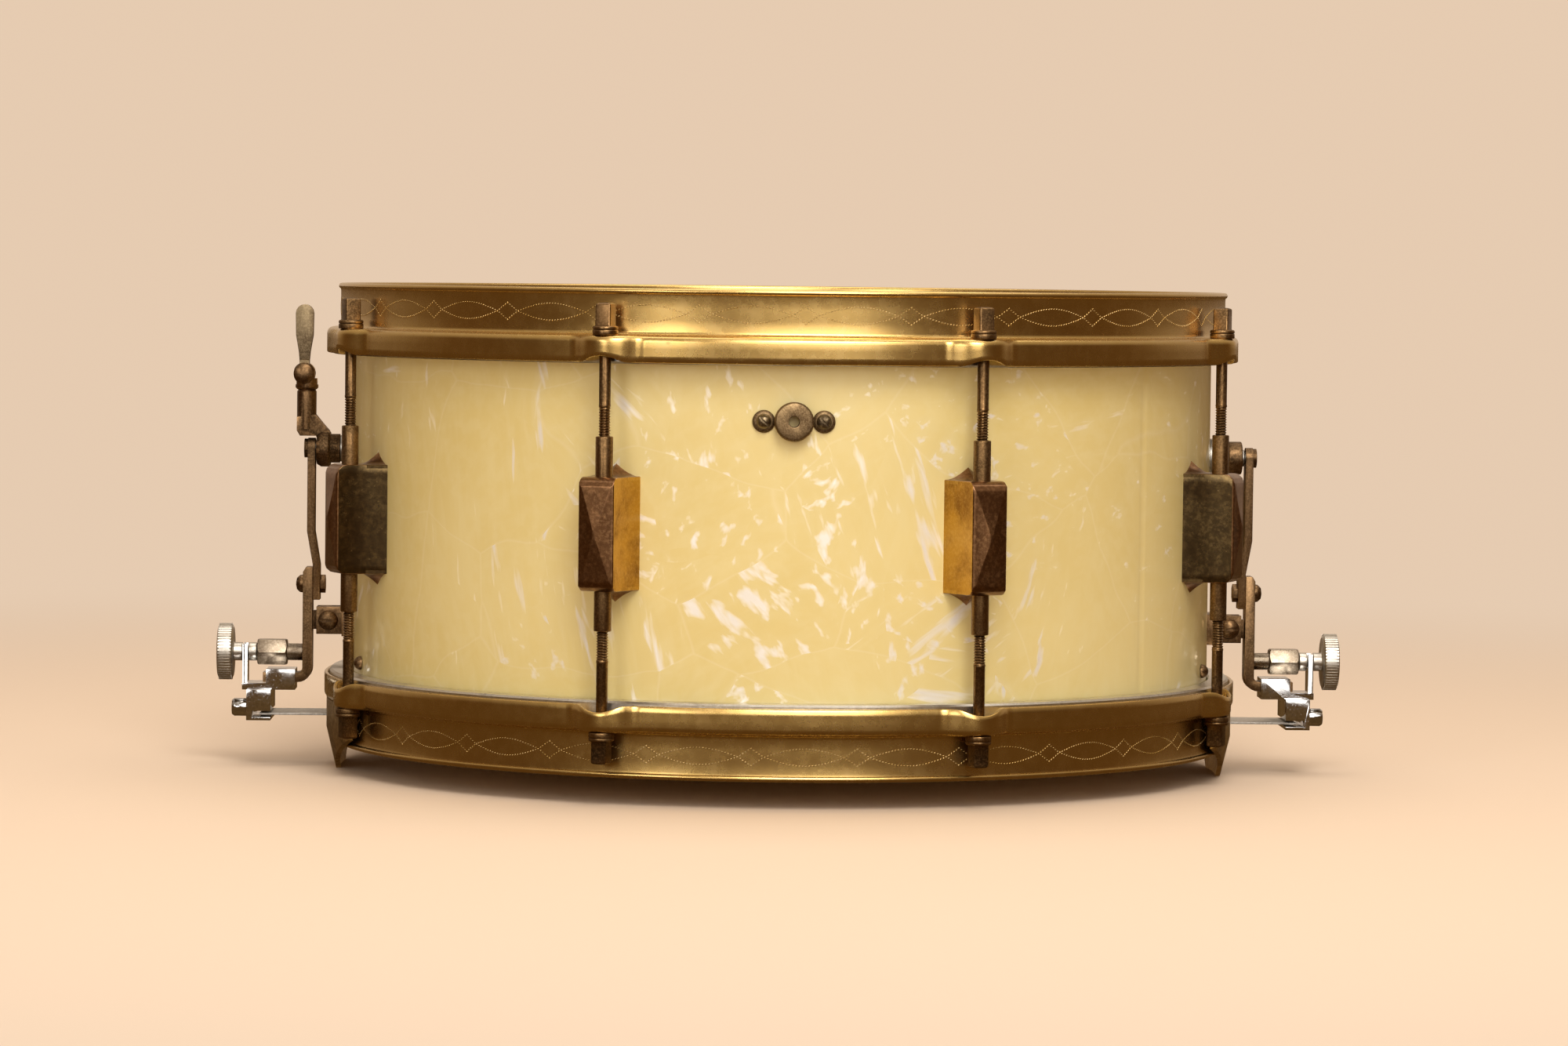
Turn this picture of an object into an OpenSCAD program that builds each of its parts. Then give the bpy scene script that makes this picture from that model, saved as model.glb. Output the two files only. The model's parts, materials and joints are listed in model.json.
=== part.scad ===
// Snare drum with double-flanged hoops, box lugs and a parallel snare strainer.
// Millimetres, +Z up. The origin is on the surface the drum stands on, under the
// shell's axis. The front (tone control) faces -Y and the throw lever is at -X.

/* [Shell] */
// Outside diameter over the pearl covering
shell_d = 355.6; // [290:0.1:430]
// Height between the two bearing edges
shell_h = 165.1; // [135:0.1:200]
// Thickness of the wooden shell
shell_wall = 7; // [5.8:0.1:8.5]
// Thickness of the pearl covering
wrap_t = 0.8; // [0.6:0.1:1]
// Angle of the covering's seam, from the front
seam_angle = 52.5; // [42:0.5:63]

/* [Hoops] */
// Whole height of a hoop
hoop_h = 28.55; // [24:0.05:33]
// Thickness of the hoops' sheet brass
hoop_t = 1.5; // [1.2:0.1:1.8]
// Height of the outer band below the ledge
band_h = 10.5; // [9:0.1:12.6]
// Height of a hoop's rim above the drumhead
rim_rise = 12; // [10:0.1:14.4]
// Distance from the shell to the outside of the engraved wall
wall_out = 5.5; // [4.6:0.1:6.2]
// Distance from the shell to the outside of the band
band_out = 11.1; // [10.4:0.1:11.8]
// Distance from the shell to the tip of an ear
ear_out = 17.7; // [17:0.1:20]
// Radius of the ears, seen from above
ear_r = 14; // [12:0.5:17]

/* [Tension rods] */
// Distance from the shell to the rods' axes
rod_out = 12.2; // [11.9:0.1:12.6]
// Diameter of a rod's thread
rod_d = 4.8; // [4:0.1:5.8]
// Side of the square key head
key_side = 6.3; // [5.2:0.1:7]
// Height of the square key head
key_h = 9; // [7.5:0.1:10.8]
// Diameter of the collars and washers
collar_d = 10; // [8.6:0.1:10.2]

/* [Lugs] */
// Height of a lug
lug_h = 44; // [36:0.5:53]
// Depth of a lug from the shell to its front corners
lug_depth = 20.2; // [18.5:0.1:24.5]
// Width of a lug's front face
lug_front_w = 14.6; // [12.2:0.1:17.6]
// Width of a lug at the shell
lug_base_w = 20; // [18:0.1:24]
// How far the four facets of the front rise to their peak
lug_peak = 1.9; // [1.5:0.1:2.4]
// Diameter of the threaded tubes in the lugs
tube_d = 6.8; // [6:0.1:8.2]
// Length of tube that shows beyond the lug
tube_show = 15.5; // [12.5:0.1:18.6]

/* [Strainer] */
// Height of the cross rod above the middle of the shell
rod_rise = 25.75; // [21:0.05:31]
// Diameter of the cross rod
cross_d = 7; // [5.8:0.1:8.4]
// Height of the arms' pivots above the lower bearing edge
pivot_rise = 37; // [31:0.5:44]
// Diameter of the pivot screws
pin_d = 4; // [3.3:0.1:4.8]
// Height of the thumb screws above the lower bearing edge
thumb_rise = 23.4; // [22:0.1:25]
// Diameter of the knurled knobs
knob_d = 23; // [19:0.1:27]
// Width of the arms and their feet
arm_w = 10; // [8.4:0.1:12]
// Length of the throw lever, from the cross rod to the fold pin
lever_len = 31; // [26:0.1:37]
// Length of the folding handle beyond its pin
handle_len = 28.7; // [24:0.1:34.4]

/* [Snares] */
// Number of wire strands
strand_count = 12; // [10:1:14]
// Diameter of a coiled strand
strand_d = 1.7; // [1.4:0.1:1.8]
// Width of the strip that carries the strands
strip_w = 26; // [24:0.5:30]

/* [Guards] */
// How far the guards reach below the snare hoop
guard_drop = 11; // [9:0.1:13.2]
// Half the angle that a guard covers
guard_span = 20.5; // [17:0.5:20.5]
// Thickness of the guards
guard_t = 2; // [1.6:0.1:2.4]

/* [Tone control] */
// Diameter of the knob
tone_d = 15.3; // [13:0.1:18.3]
// Depth of the tone control below the upper bearing edge
tone_drop = 38.5; // [36:0.5:46]
// Distance of its two screws from the knob's axis
tone_screw_gap = 11.6; // [11:0.1:13.9]

/* [Hidden] */
$fn = 96;
TURNS = 8;
NAMES_OF_RODS = concat(
    [for (i = [1:TURNS]) str("batter_rod_", i)],
    [for (i = [1:TURNS]) str("snare_rod_", i)]);

run = 0.05;                       // radial clearance of turning fits
gap = 0.3;                        // room between pieces that move past each other
radius = shell_d / 2;
half_h = shell_h / 2;
reach = half_h + rim_rise;        // from the middle of the shell to a rim
z_mid = guard_drop + reach;
z_edge = guard_drop + rim_rise;   // lower bearing edge
wood_r = radius - wrap_t;
inner_r = wood_r - shell_wall;
wall_r = radius + wall_out;
band_r = radius + band_out;
band_edge = reach - hoop_h;       // free edge of the band, from the middle
ledge = band_edge + band_h;       // outer face of the ledge, from the middle
rod_r = radius + rod_out;
rod_angles = [for (i = [1:TURNS]) (i - 0.5) * 360 / TURNS];
washer_t = 2;
flange_t = 1.4;                   // flange under a key head
head_t = 0.35;
lug_top = lug_h / 2;
tube_in = lug_h / 2 - 4;          // length of tube inside the lug
boss_z = 12 * lug_h / 44;         // lug screws above and below its middle
boss_l = 8.2;
screw_d = 4;
plate_screw_y = 6.5;              // clevis screws either side of the middle
dome_spread = 15;                 // dome screws either side of a strainer, in degrees
tone_shaft_d = 6;
tone_screw_d = 3;
tone_nut_d = 6;
tone_pin_d = 3;
lap_bolt_d = 4;
fold_pin_d = 4;
post_d = 6;
z_rod = z_mid + rod_rise;
z_pivot = z_edge + pivot_rise;
z_thumb = z_edge + thumb_rise;
pivot_x = radius + 9.8;
hub_x = radius + 5.6;
hub_end = radius + 15.2;
strap_x = radius + 13.4;          // inner face of the strap at the lap
strap_t = 3;
eye_x = radius + 15.7;            // inner face of the strap's eye
eye_r = 4.3;
arm_x = strap_x + strap_t;        // the arm lies on the strap
arm_t = 4;
arm_out = arm_x + arm_t;
z_lap = z_pivot + 14.9;
leg_t = 4;
z_leg = z_thumb - 10.3;           // middle of the arm's foot
leg_end = radius + 36.7;
plate_z = z_leg - leg_t / 2 - gap - 2.7;
hex_x = radius + 26.8;
hex_end = radius + 39.2;
hex_w = 10.4;
screw_shank = 5;
neck_d = 7.6;
groove_d = 4.5;
groove_x = hex_end + 3.6;
groove_w = 2.6;
knob_x = radius + 49.1;
knob_w = 6.5;
block_x = radius + 32.8;
block_end = radius + 42.8;
block_h = 12.2;
block_w = 2 * ceil(strip_w / 2) + 4;
strip_t = 0.8;
z_strand = z_edge - head_t - gap - strand_d / 2;
z_strip = z_strand - strip_t / 2;
jaw_h = 2.6;
strand_pitch = (strip_w - 2.6) / (strand_count - 0.5);
lever_x = radius + 19.6;
fold_x = lever_x + 1;
z_fold = z_rod + lever_len;
z_tone = z_mid + half_h - tone_drop;
tone_lift = 1.6;                  // from the covering to the knob's underside
tone_t = 4.2;
tone_pivot_y = -(inner_r - 7);
z_tone_pivot = z_tone + 10;
dome_z = z_edge + 22.4;

BRASS = [0.62, 0.46, 0.22];
BRONZE = [0.30, 0.22, 0.15];
STEEL = [0.70, 0.70, 0.69];
PEARL = [0.88, 0.83, 0.66];

function arc(cx, cy, r, a0, a1, n = 6) =
    [for (i = [0:n]) [cx + r * cos(a0 + (a1 - a0) * i / n), cy + r * sin(a0 + (a1 - a0) * i / n)]];

// Puts its children at an angle from the front, so that -Y is away from the axis.
module at_angle(angle) {
    rotate([0, 0, angle]) children();
}

// A cylinder that points away from the axis at an angle and a height.
module radial(angle, z, r0, r1, d) {
    at_angle(angle) translate([0, -r0, z]) rotate([90, 0, 0]) cylinder(h = r1 - r0, d = d);
}

// A cylinder along X from x0 to x1.
module along_x(x0, x1, z, d, y = 0) {
    translate([x0, y, z]) rotate([0, 90, 0]) cylinder(h = x1 - x0, d = d);
}

// A cylinder along Y, centred on y = 0.
module across(x, z, width, d) {
    translate([x, width / 2, z]) rotate([90, 0, 0]) cylinder(h = width, d = d);
}

// A side outline given as [x, z] points, pushed out along Y.
module side_plate(width, points) {
    translate([0, width / 2, 0]) rotate([90, 0, 0]) linear_extrude(width) polygon(points);
}

// The upper half's shapes, measured from the middle of the shell, or their mirror below it.
module half(side) {
    translate([0, 0, z_mid]) mirror([0, 0, side > 0 ? 0 : 1]) children();
}

// The right-hand strainer's shapes, or their mirror on the left.
module hand(side) {
    mirror([side > 0 ? 0 : 1, 0, 0]) children();
}

// Shell and covering

module shell_bores() {
    for (a = rod_angles) for (s = [-1, 1])
        radial(a, z_mid + s * boss_z, inner_r - 5, radius + 5, screw_d);
    for (a = [-90, 90]) {
        radial(a, z_rod, inner_r - 5, radius + 5, cross_d + 4);
        for (y = [-plate_screw_y, plate_screw_y])
            at_angle(a) translate([y, 0, 0]) radial(0, z_pivot, inner_r - 8, radius + 5, screw_d);
        for (b = [-dome_spread, dome_spread])
            radial(a + b, dome_z, inner_r - 5, radius + 5, screw_d);
    }
    radial(0, z_tone, inner_r - 5, radius + 5, tone_shaft_d + 2 * gap);
    for (x = [-1, 1])
        translate([x * tone_screw_gap, 0, 0]) radial(0, z_tone, inner_r - 5, radius + 5, tone_screw_d);
}

module shell() {
    color("tan") difference() {
        translate([0, 0, z_mid]) rotate_extrude($fn = 180) polygon([
            [inner_r, -half_h + 4.5], [wood_r - 2.5, -half_h], [wood_r - 1.5, -half_h],
            [wood_r, -half_h + 1.5], [wood_r, half_h - 1.5], [wood_r - 1.5, half_h],
            [wood_r - 2.5, half_h], [inner_r, half_h - 4.5]]);
        shell_bores();
    }
}

module shell_wrap() {
    wrap_h = shell_h - 4;
    color(PEARL) difference() {
        translate([0, 0, z_mid - wrap_h / 2]) difference() {
            cylinder(h = wrap_h, r = radius, $fn = 180);
            translate([0, 0, -1]) cylinder(h = wrap_h + 2, r = wood_r, $fn = 180);
        }
        at_angle(seam_angle) translate([-0.2, -radius - 1, z_mid - half_h])
            cube([0.4, wrap_t + 3, shell_h]);
        shell_bores();
    }
}

// Hoops and drumheads

// Sheet hoop seen as one solid with its hollows cut away: band, ears, wall and rolled lip.
// The ears stand a hair inside the band's two flat faces, so no two faces lie in one plane.
module hoop_sheet() {
    ear_centre = radius + ear_out - ear_r;
    ear_step = 0.25;
    scoop_w = ear_r * 1.25;
    scoop_h = 2.5;
    scoop_r = (scoop_w * scoop_w / 4 + scoop_h * scoop_h) / (2 * scoop_h);
    under = band_edge - 1;
    difference() {
        union() {
            translate([0, 0, band_edge]) cylinder(h = band_h, r = band_r, $fn = 180);
            translate([0, 0, band_edge + 1]) cylinder(h = hoop_h - 1, r = wall_r, $fn = 180);
            translate([0, 0, reach - 2.4]) cylinder(h = 1.8, r = wall_r + 0.9, $fn = 180);
            for (a = rod_angles) at_angle(a)
                translate([0, -ear_centre, band_edge + ear_step])
                cylinder(h = band_h - 2 * ear_step, r = ear_r);
        }
        translate([0, 0, under]) cylinder(h = hoop_h + 2, r = wall_r - hoop_t, $fn = 180);
        translate([0, 0, under])
            cylinder(h = band_h - hoop_t + 1, r = band_r - hoop_t, $fn = 180);
        for (a = rod_angles) at_angle(a) {
            translate([0, -ear_centre, under])
                cylinder(h = band_h - hoop_t + 1 - 1.2 * ear_step, r = ear_r - hoop_t);
            translate([0, -rod_r, under]) cylinder(h = band_h + 3, d = rod_d + 1);
            translate([0, -radius - band_out + 3, band_edge + scoop_h - scoop_r])
                rotate([90, 0, 0]) cylinder(h = 20, r = scoop_r);
        }
    }
}

module batter_hoop() {
    color(BRASS) half(1) hoop_sheet();
}

module snare_hoop() {
    gate_w = strip_w + 8;
    color(BRASS) difference() {
        half(-1) hoop_sheet();
        for (s = [-1, 1]) translate([s * wall_r - 10, -gate_w / 2, z_strip - 3.9])
            cube([20, gate_w, 6.4]);
    }
}

module drumhead() {
    top = half_h + head_t;
    skirt = radius + 0.15;
    rotate_extrude($fn = 180) polygon([
        [0, half_h], [skirt - 1.9, half_h], [skirt, half_h - 1.9], [skirt, band_edge + 4],
        [skirt + head_t, band_edge + 4], [skirt + head_t, half_h - 1.7], [skirt - 1.7, top],
        [0, top]]);
}

module batter_head() {
    color("ivory") half(1) drumhead();
}

module snare_head() {
    color("ivory") half(-1) drumhead();
}

// The ring that the skin is tucked round, held under the hoop's ledge.
module flesh_ring(show) {
    r0 = radius + 0.15 + head_t + 0.1;
    r1 = band_r - hoop_t - 0.6;
    z0 = band_edge - show;
    z1 = ledge - hoop_t;
    rotate_extrude($fn = 180) polygon([[r0, z0 + 0.6], [r0 + 0.6, z0], [r1 - 0.8, z0],
        [r1, z0 + 0.8], [r1, z1 - 0.8], [r1 - 0.8, z1], [r0, z1]]);
}

module batter_flesh_hoop() {
    color(STEEL) half(1) flesh_ring(0.5);
}

module snare_flesh_hoop() {
    color(STEEL) half(-1) flesh_ring(1.5);
}

// Lugs

function flare(t) = lug_front_w / 2 + (lug_base_w - lug_front_w) / 2 * pow(1 - t, 2.4);

module lug_casting() {
    front = radius + lug_depth;
    corner = 5;
    back = radius - 2;
    wing_h = 5;
    wing_out = 8;
    half_base = lug_base_w / 2;
    difference() {
        union() {
            intersection() {
                // side outline, as depth and height
                rotate([90, 0, 90]) linear_extrude(2 * lug_base_w, center = true) polygon(concat(
                    [[-back, -lug_top], [-front + corner, -lug_top]],
                    arc(-front + corner, -lug_top + corner, corner, 270, 190, 5),
                    [[-front - lug_peak, 0]],
                    arc(-front + corner, lug_top - corner, corner, 170, 90, 5),
                    [[-back, lug_top]]));
                // plan outline, as width and depth
                linear_extrude(lug_h + 2, center = true) polygon(concat(
                    [[-half_base, -back]],
                    [for (i = [0:7]) [-flare(i / 7), -radius - lug_depth * i / 7]],
                    [[0, -front - lug_peak]],
                    [for (i = [7:-1:0]) [flare(i / 7), -radius - lug_depth * i / 7]],
                    [[half_base, -back]]));
            }
            // wings that rise to a point against the shell, above and below
            intersection() {
                translate([0, -back, 0]) rotate([90, 0, 0]) linear_extrude(wing_out + 2) polygon(concat(
                    [for (i = [-6:6])
                        [half_base * i / 6, lug_top + wing_h * pow(1 - abs(i) / 6, 1.7)]],
                    [for (i = [6:-1:-6])
                        [half_base * i / 6, -lug_top - wing_h * pow(1 - abs(i) / 6, 1.7)]]));
                rotate([90, 0, 90]) linear_extrude(lug_base_w, center = true) polygon(concat(
                    [[-back, lug_top + wing_h]],
                    [for (i = [0:6])
                        [-radius - wing_out * i / 6, lug_top + wing_h * pow(1 - i / 6, 1.5)]],
                    [for (i = [6:-1:0])
                        [-radius - wing_out * i / 6, -lug_top - wing_h * pow(1 - i / 6, 1.5)]],
                    [[-back, -lug_top - wing_h]]));
            }
        }
        // seat on the shell, hollow back, tube holes
        cylinder(h = 2 * lug_h, r = radius, center = true, $fn = 180);
        difference() {
            translate([-5.4, -radius - lug_depth + 3.4, -lug_top + 3])
                cube([10.8, lug_depth + 2, lug_h - 6]);
            // bridges from side to side for the shell screws
            for (s = [-1, 1]) translate([-6, -radius - boss_l, s * boss_z - 3.5])
                cube([12, boss_l + 4, 7]);
        }
        for (s = [-1, 1]) radial(0, s * boss_z, radius - 3, radius + boss_l - 1, screw_d);
        translate([0, -rod_r, -lug_h]) cylinder(h = 2 * lug_h, d = tube_d);
    }
}

module lugs() {
    color(BRONZE) for (a = rod_angles)
        translate([0, 0, z_mid]) at_angle(a) lug_casting();
}

module lug_tubes() {
    color(BRONZE) for (a = rod_angles) for (s = [-1, 1]) half(s) at_angle(a)
        translate([0, -rod_r, lug_top - tube_in]) difference() {
            cylinder(h = tube_in + tube_show, d = tube_d);
            translate([0, 0, -1]) cylinder(h = tube_in + tube_show + 2, d = rod_d + 2 * run);
        }
}

module shell_screw(angle, z, tip, y = 0) {
    at_angle(angle) translate([y, 0, 0]) {
        radial(0, z, inner_r - 0.5, tip, screw_d);
        radial(0, z, inner_r - 3.6, inner_r - 0.4, 8);
    }
}

module shell_screws() {
    color(STEEL) {
        for (a = rod_angles) for (s = [-1, 1])
            shell_screw(a, z_mid + s * boss_z, radius + boss_l - 1.5);
        for (a = [-90, 90]) for (y = [-plate_screw_y, plate_screw_y])
            shell_screw(a, z_pivot, radius + 3.4, y);
    }
}

// Tension rods

module tension_rod(angle) {
    z0 = ledge + washer_t + run;
    thread_l = tube_show + tube_in + 8;
    thread_top = lug_top - tube_in + 2 + thread_l;
    at_angle(angle) translate([0, -rod_r, 0]) union() {
        translate([0, 0, lug_top - tube_in + 2]) cylinder(h = thread_l, d = rod_d);
        translate([0, 0, thread_top - 0.1])
            cylinder(h = z0 - thread_top + 0.2, d = rod_d - 0.3);
        translate([0, 0, z0]) cylinder(h = flange_t, d = collar_d);
        intersection() {
            translate([-key_side / 2, -key_side / 2, z0 + 0.5])
                cube([key_side, key_side, flange_t - 0.5 + key_h]);
            translate([0, 0, z0]) rotate_extrude() polygon(concat(
                [[0, 0], [key_side, 0], [key_side, key_h - 1.6]],
                [[key_side / 2, key_h + 0.4], [key_side / 4, flange_t + key_h - 0.2],
                 [0, flange_t + key_h]]));
        }
    }
}

module batter_rod(i) {
    color(BRONZE) half(1) tension_rod(rod_angles[i - 1]);
}

module snare_rod(i) {
    color(BRONZE) half(-1) tension_rod(rod_angles[i - 1]);
}

module rod_washers() {
    color(BRONZE) for (s = [-1, 1]) half(s) for (a = rod_angles) at_angle(a)
        translate([0, -rod_r, ledge]) difference() {
            cylinder(h = washer_t, d = collar_d);
            translate([0, 0, -1]) cylinder(h = washer_t + 2, d = rod_d + 0.4);
        }
}

// Tone control at the front: a knob outside turns a cam that lifts a felt pad inside.

module tone_knob() {
    color(BRASS) difference() {
        union() {
            translate([0, -radius - tone_lift, z_tone]) rotate([90, 0, 0]) rotate_extrude() polygon(concat(
                [[0, 0], [tone_d / 2, 0]],
                arc(tone_d / 2 - 1.2, tone_t - 1.2, 1.2, 0, 90, 4), [[0, tone_t]]));
            radial(0, z_tone, inner_r - 3, radius + tone_lift + 0.5, tone_shaft_d);
            translate([0, 0, -1.6]) radial(0, z_tone, inner_r - 5.2, inner_r - 2.6, 9);
        }
        radial(0, z_tone, radius + tone_lift + tone_t - 2.6, radius + 2 * tone_t + 4, 4.1);
    }
}

module tone_bracket() {
    ear_y = tone_pivot_y + 3;
    color(STEEL) difference() {
        union() {
            intersection() {
                translate([0, 0, z_tone - 12]) difference() {
                    cylinder(h = 28, r = inner_r, $fn = 180);
                    translate([0, 0, -1]) cylinder(h = 30, r = inner_r - 1.8, $fn = 180);
                }
                translate([-18, -radius, z_tone - 12]) cube([36, 20, 28]);
            }
            for (x = [-1, 1]) translate([x * 6.2 - 1, -inner_r + 1, z_tone_pivot - 4])
                cube([2, ear_y + inner_r - 1, 8]);
        }
        radial(0, z_tone, inner_r - 8, radius + 5, tone_shaft_d + 2 * run);
        for (x = [-1, 1])
            translate([x * tone_screw_gap, 0, 0]) radial(0, z_tone, inner_r - 8, radius, tone_screw_d);
        along_x(-10, 10, z_tone_pivot, tone_pin_d, tone_pivot_y);
    }
}

module tone_pin() {
    color(STEEL) union() {
        along_x(-7.2, 7.2, z_tone_pivot, tone_pin_d, tone_pivot_y);
        for (s = [0, 1]) mirror([s, 0, 0]) along_x(7.2, 8.4, z_tone_pivot, tone_pin_d + 2, tone_pivot_y);
    }
}

module tone_arm() {
    y = tone_pivot_y;
    z = z_tone_pivot;
    pad_y = y + 25;
    pad_z = z_mid + half_h - 11.1;
    color(STEEL) difference() {
        union() {
            // spring strip: heel below the pivot, rising inwards to the pad plate
            rotate([90, 0, 90]) translate([0, 0, -4]) linear_extrude(8) polygon([
                [y - 0.6, z - 12], [y + 1, z - 12], [y + 1, z], [pad_y - 9, pad_z - 1.6],
                [pad_y + 9, pad_z - 1.6], [pad_y + 9, pad_z], [pad_y - 9.8, pad_z],
                [y - 0.6, z + 1.2]]);
            translate([0, pad_y, pad_z - 1.6]) cylinder(h = 1.6, d = 24);
            translate([-4.8, 0, 0]) along_x(0, 9.6, z, tone_pin_d + 3, y);
        }
        along_x(-10, 10, z, tone_pin_d + 2 * run, y);
    }
}

module tone_felt() {
    color("whitesmoke") translate([0, tone_pivot_y + 25, z_mid + half_h - 11.1])
        cylinder(h = 4.6, d = 28);
}

module tone_screws() {
    color(BRONZE) for (x = [-1, 1]) translate([x * tone_screw_gap, 0, 0]) {
        radial(0, z_tone, inner_r - 1, radius + 1.4, tone_screw_d);
        translate([0, -radius - 1.3, z_tone]) rotate([90, 0, 0]) difference() {
            rotate_extrude() polygon(concat([[0, 0]], arc(0, 0, 2.95, 0, 90, 6)));
            rotate([0, 0, -45]) translate([-4, -0.4, 1.7]) cube([8, 0.8, 3]);
        }
        difference() {
            radial(0, z_tone, inner_r - 5.2, inner_r - 2.7, tone_nut_d);
            radial(0, z_tone, inner_r - 6, inner_r - 0.5, tone_screw_d);
        }
        radial(0, z_tone, inner_r - 5.2, inner_r - 0.9, tone_screw_d);
    }
}

module tone_cups() {
    color(BRASS) for (x = [-1, 1]) translate([x * tone_screw_gap, -radius + 0.35, z_tone])
        rotate([90, 0, 0]) difference() {
            rotate_extrude() polygon([[1.5, 0], [4.4, 0], [4.4, 0.7], [3.1, 1.65], [1.5, 1.65]]);
            translate([-x * tone_screw_gap, 0, 0.35 - radius]) rotate([90, 0, 0])
                cylinder(h = 40, r = radius, center = true, $fn = 180);
        }
}

// Strainer: cross rod and throw lever

module rod_bushings() {
    color(STEEL) for (s = [-1, 1]) hand(s) difference() {
        union() {
            along_x(inner_r - 4, hub_x - 0.1 - run, z_rod, cross_d + 4);
            difference() {
                along_x(radius - 1, radius + 2.4, z_rod, cross_d + 9);
                cylinder(h = 2 * z_rod, r = radius, $fn = 180);
            }
            difference() {
                along_x(inner_r - 3, inner_r + 0.5, z_rod, cross_d + 8);
                difference() {
                    cylinder(h = 2 * z_rod, r = radius + 5, $fn = 180);
                    translate([0, 0, -1]) cylinder(h = 2 * z_rod + 2, r = inner_r, $fn = 180);
                }
            }
        }
        along_x(inner_r - 10, radius + 20, z_rod, cross_d + 2 * run);
    }
}

module cross_rod() {
    end_d = cross_d - 2;
    color(STEEL) union() {
        along_x(-hub_end, hub_end, z_rod, cross_d);
        along_x(-radius - 20.2, radius + 20.2, z_rod, end_d);
    }
}

module cam_collar() {
    color(BRONZE) difference() {
        along_x(radius + 8.2, radius + 14.2, z_rod, 13.7);
        along_x(radius, radius + 20, z_rod, cross_d);
    }
}

module throw_lever() {
    color(BRONZE) hand(-1) difference() {
        union() {
            along_x(hub_x, radius + 9.6, z_rod, 12);
            translate([radius + 9.5, 0, z_rod]) rotate([0, 90, 0]) rotate_extrude() polygon([
                [0, 0], [6.8, 0], [7.65, 0.9], [7.65, 4], [6.6, 5.7], [0, 5.7]]);
            // neck that rises out of the hub
            side_plate(7.4, [
                [radius + 10, z_rod + 4.6], [hub_end, z_rod + 4.6], [hub_end + 0.4, z_rod + 5.2],
                [lever_x + 2.6, z_rod + 5.2], [lever_x + 3.9, z_rod + 7.4],
                [lever_x + 3.9, z_rod + 13], [lever_x - 3.9, z_rod + 14],
                [radius + 12.4, z_rod + 10], [radius + 10, z_rod + 7.3]]);
            translate([lever_x, 0, z_rod]) rotate_extrude() polygon([
                [0, 8], [4.05, 8], [4.05, lever_len - 7.4], [3.6, lever_len - 6.8],
                [4.2, lever_len - 6.4], [4.75, lever_len - 5.8], [4.75, lever_len - 2],
                [0, lever_len - 2]]);
            translate([fold_x, 0, z_fold]) intersection() {
                rotate([90, 0, 0]) cylinder(h = 9.4, d = 9.1, center = true);
                cylinder(h = 12, d = 9.5, center = true);
            }
        }
        translate([fold_x - 8, -2.1, z_fold - 4.55]) cube([16, 4.2, 12]);
        across(fold_x, z_fold, 20, fold_pin_d);
        along_x(radius, radius + 30, z_rod, cross_d);
    }
}

module handle_pin() {
    color(BRONZE) hand(-1) union() {
        across(fold_x, z_fold, 9.8, fold_pin_d);
        for (s = [-1, 1]) translate([fold_x, s * 4.9, z_fold]) rotate([-90 * s, 0, 0])
            rotate_extrude() polygon([[0, 0], [4.4, 0], [4.1, 0.7], [2.4, 1.4], [0, 1.6]]);
    }
}

module lever_handle() {
    top = z_fold + handle_len;
    color(BRONZE) hand(-1) difference() {
        union() {
            across(fold_x, z_fold, 3.6, 8.2);
            side_plate(3.6, [[fold_x - 2.1, z_fold], [fold_x + 2.1, z_fold],
                [fold_x + 2.1, z_fold + 8], [fold_x - 2.1, z_fold + 8]]);
            side_plate(4.2, concat(
                [[fold_x - 2.1, z_fold + 5.8], [fold_x + 2.1, z_fold + 5.8],
                 [fold_x + 2.4, z_fold + 9], [fold_x + 3.6, z_fold + 16]],
                arc(fold_x, top - 3.75, 3.75, 0, 180, 8),
                [[fold_x - 3.6, z_fold + 16], [fold_x - 2.4, z_fold + 9]]));
        }
        across(fold_x, z_fold, 20, fold_pin_d + 2 * run);
    }
}

// Strainer: clevises, straps and arms

module clevises() {
    cheek_x = radius + 14.7;
    color(BRONZE) for (s = [-1, 1]) hand(s) difference() {
        union() {
            translate([radius - 2, -9.5, z_pivot - 6.3]) cube([6, 19, 12.6]);
            for (y = [-1, 1]) translate([radius + 2, y * 3.8 - 1.5, z_pivot - 5.7])
                cube([cheek_x - radius - 2, 3, 11.4]);
        }
        cylinder(h = 2 * z_rod, r = radius, $fn = 180);
        across(pivot_x, z_pivot, 30, pin_d);
        for (y = [-plate_screw_y, plate_screw_y])
            along_x(radius - 5, radius + 3.6, z_pivot, screw_d, y);
    }
}

module pivot_screws() {
    color(BRONZE) for (s = [-1, 1]) hand(s) union() {
        across(pivot_x, z_pivot, 10.7, pin_d);
        for (y = [-1, 1]) translate([pivot_x, y * 5.3, z_pivot]) rotate([-90 * y, 0, 0])
            difference() {
                rotate_extrude() polygon([[0, 0], [4.1, 0], [3.8, 1], [2.2, 2], [0, 2.3]]);
                translate([-5, -0.45, 1.2]) cube([10, 0.9, 3]);
            }
    }
}

module strap() {
    z0 = z_pivot + 8.4;
    color(BRONZE) difference() {
        union() {
            intersection() {
                side_plate(2 * eye_r, [
                    [strap_x, z0], [strap_x + strap_t, z0], [strap_x + strap_t, z_lap + 8],
                    [eye_x + 3.2, z_lap + 22], [eye_x + 3.2, z_rod + 10], [eye_x, z_rod + 10],
                    [eye_x, z_lap + 22], [strap_x, z_lap + 8]]);
                union() {
                    along_x(radius, radius + 30, z_rod, 2 * eye_r);
                    translate([radius, -eye_r, z0]) cube([30, 2 * eye_r, z_rod - z0]);
                }
            }
            along_x(eye_x + 3, radius + 20.4, z_rod, 7.9);
        }
        along_x(radius, radius + 30, z_rod, cross_d - 2 + 1.4);
        along_x(radius, radius + 30, z_lap, lap_bolt_d);
    }
}

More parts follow.
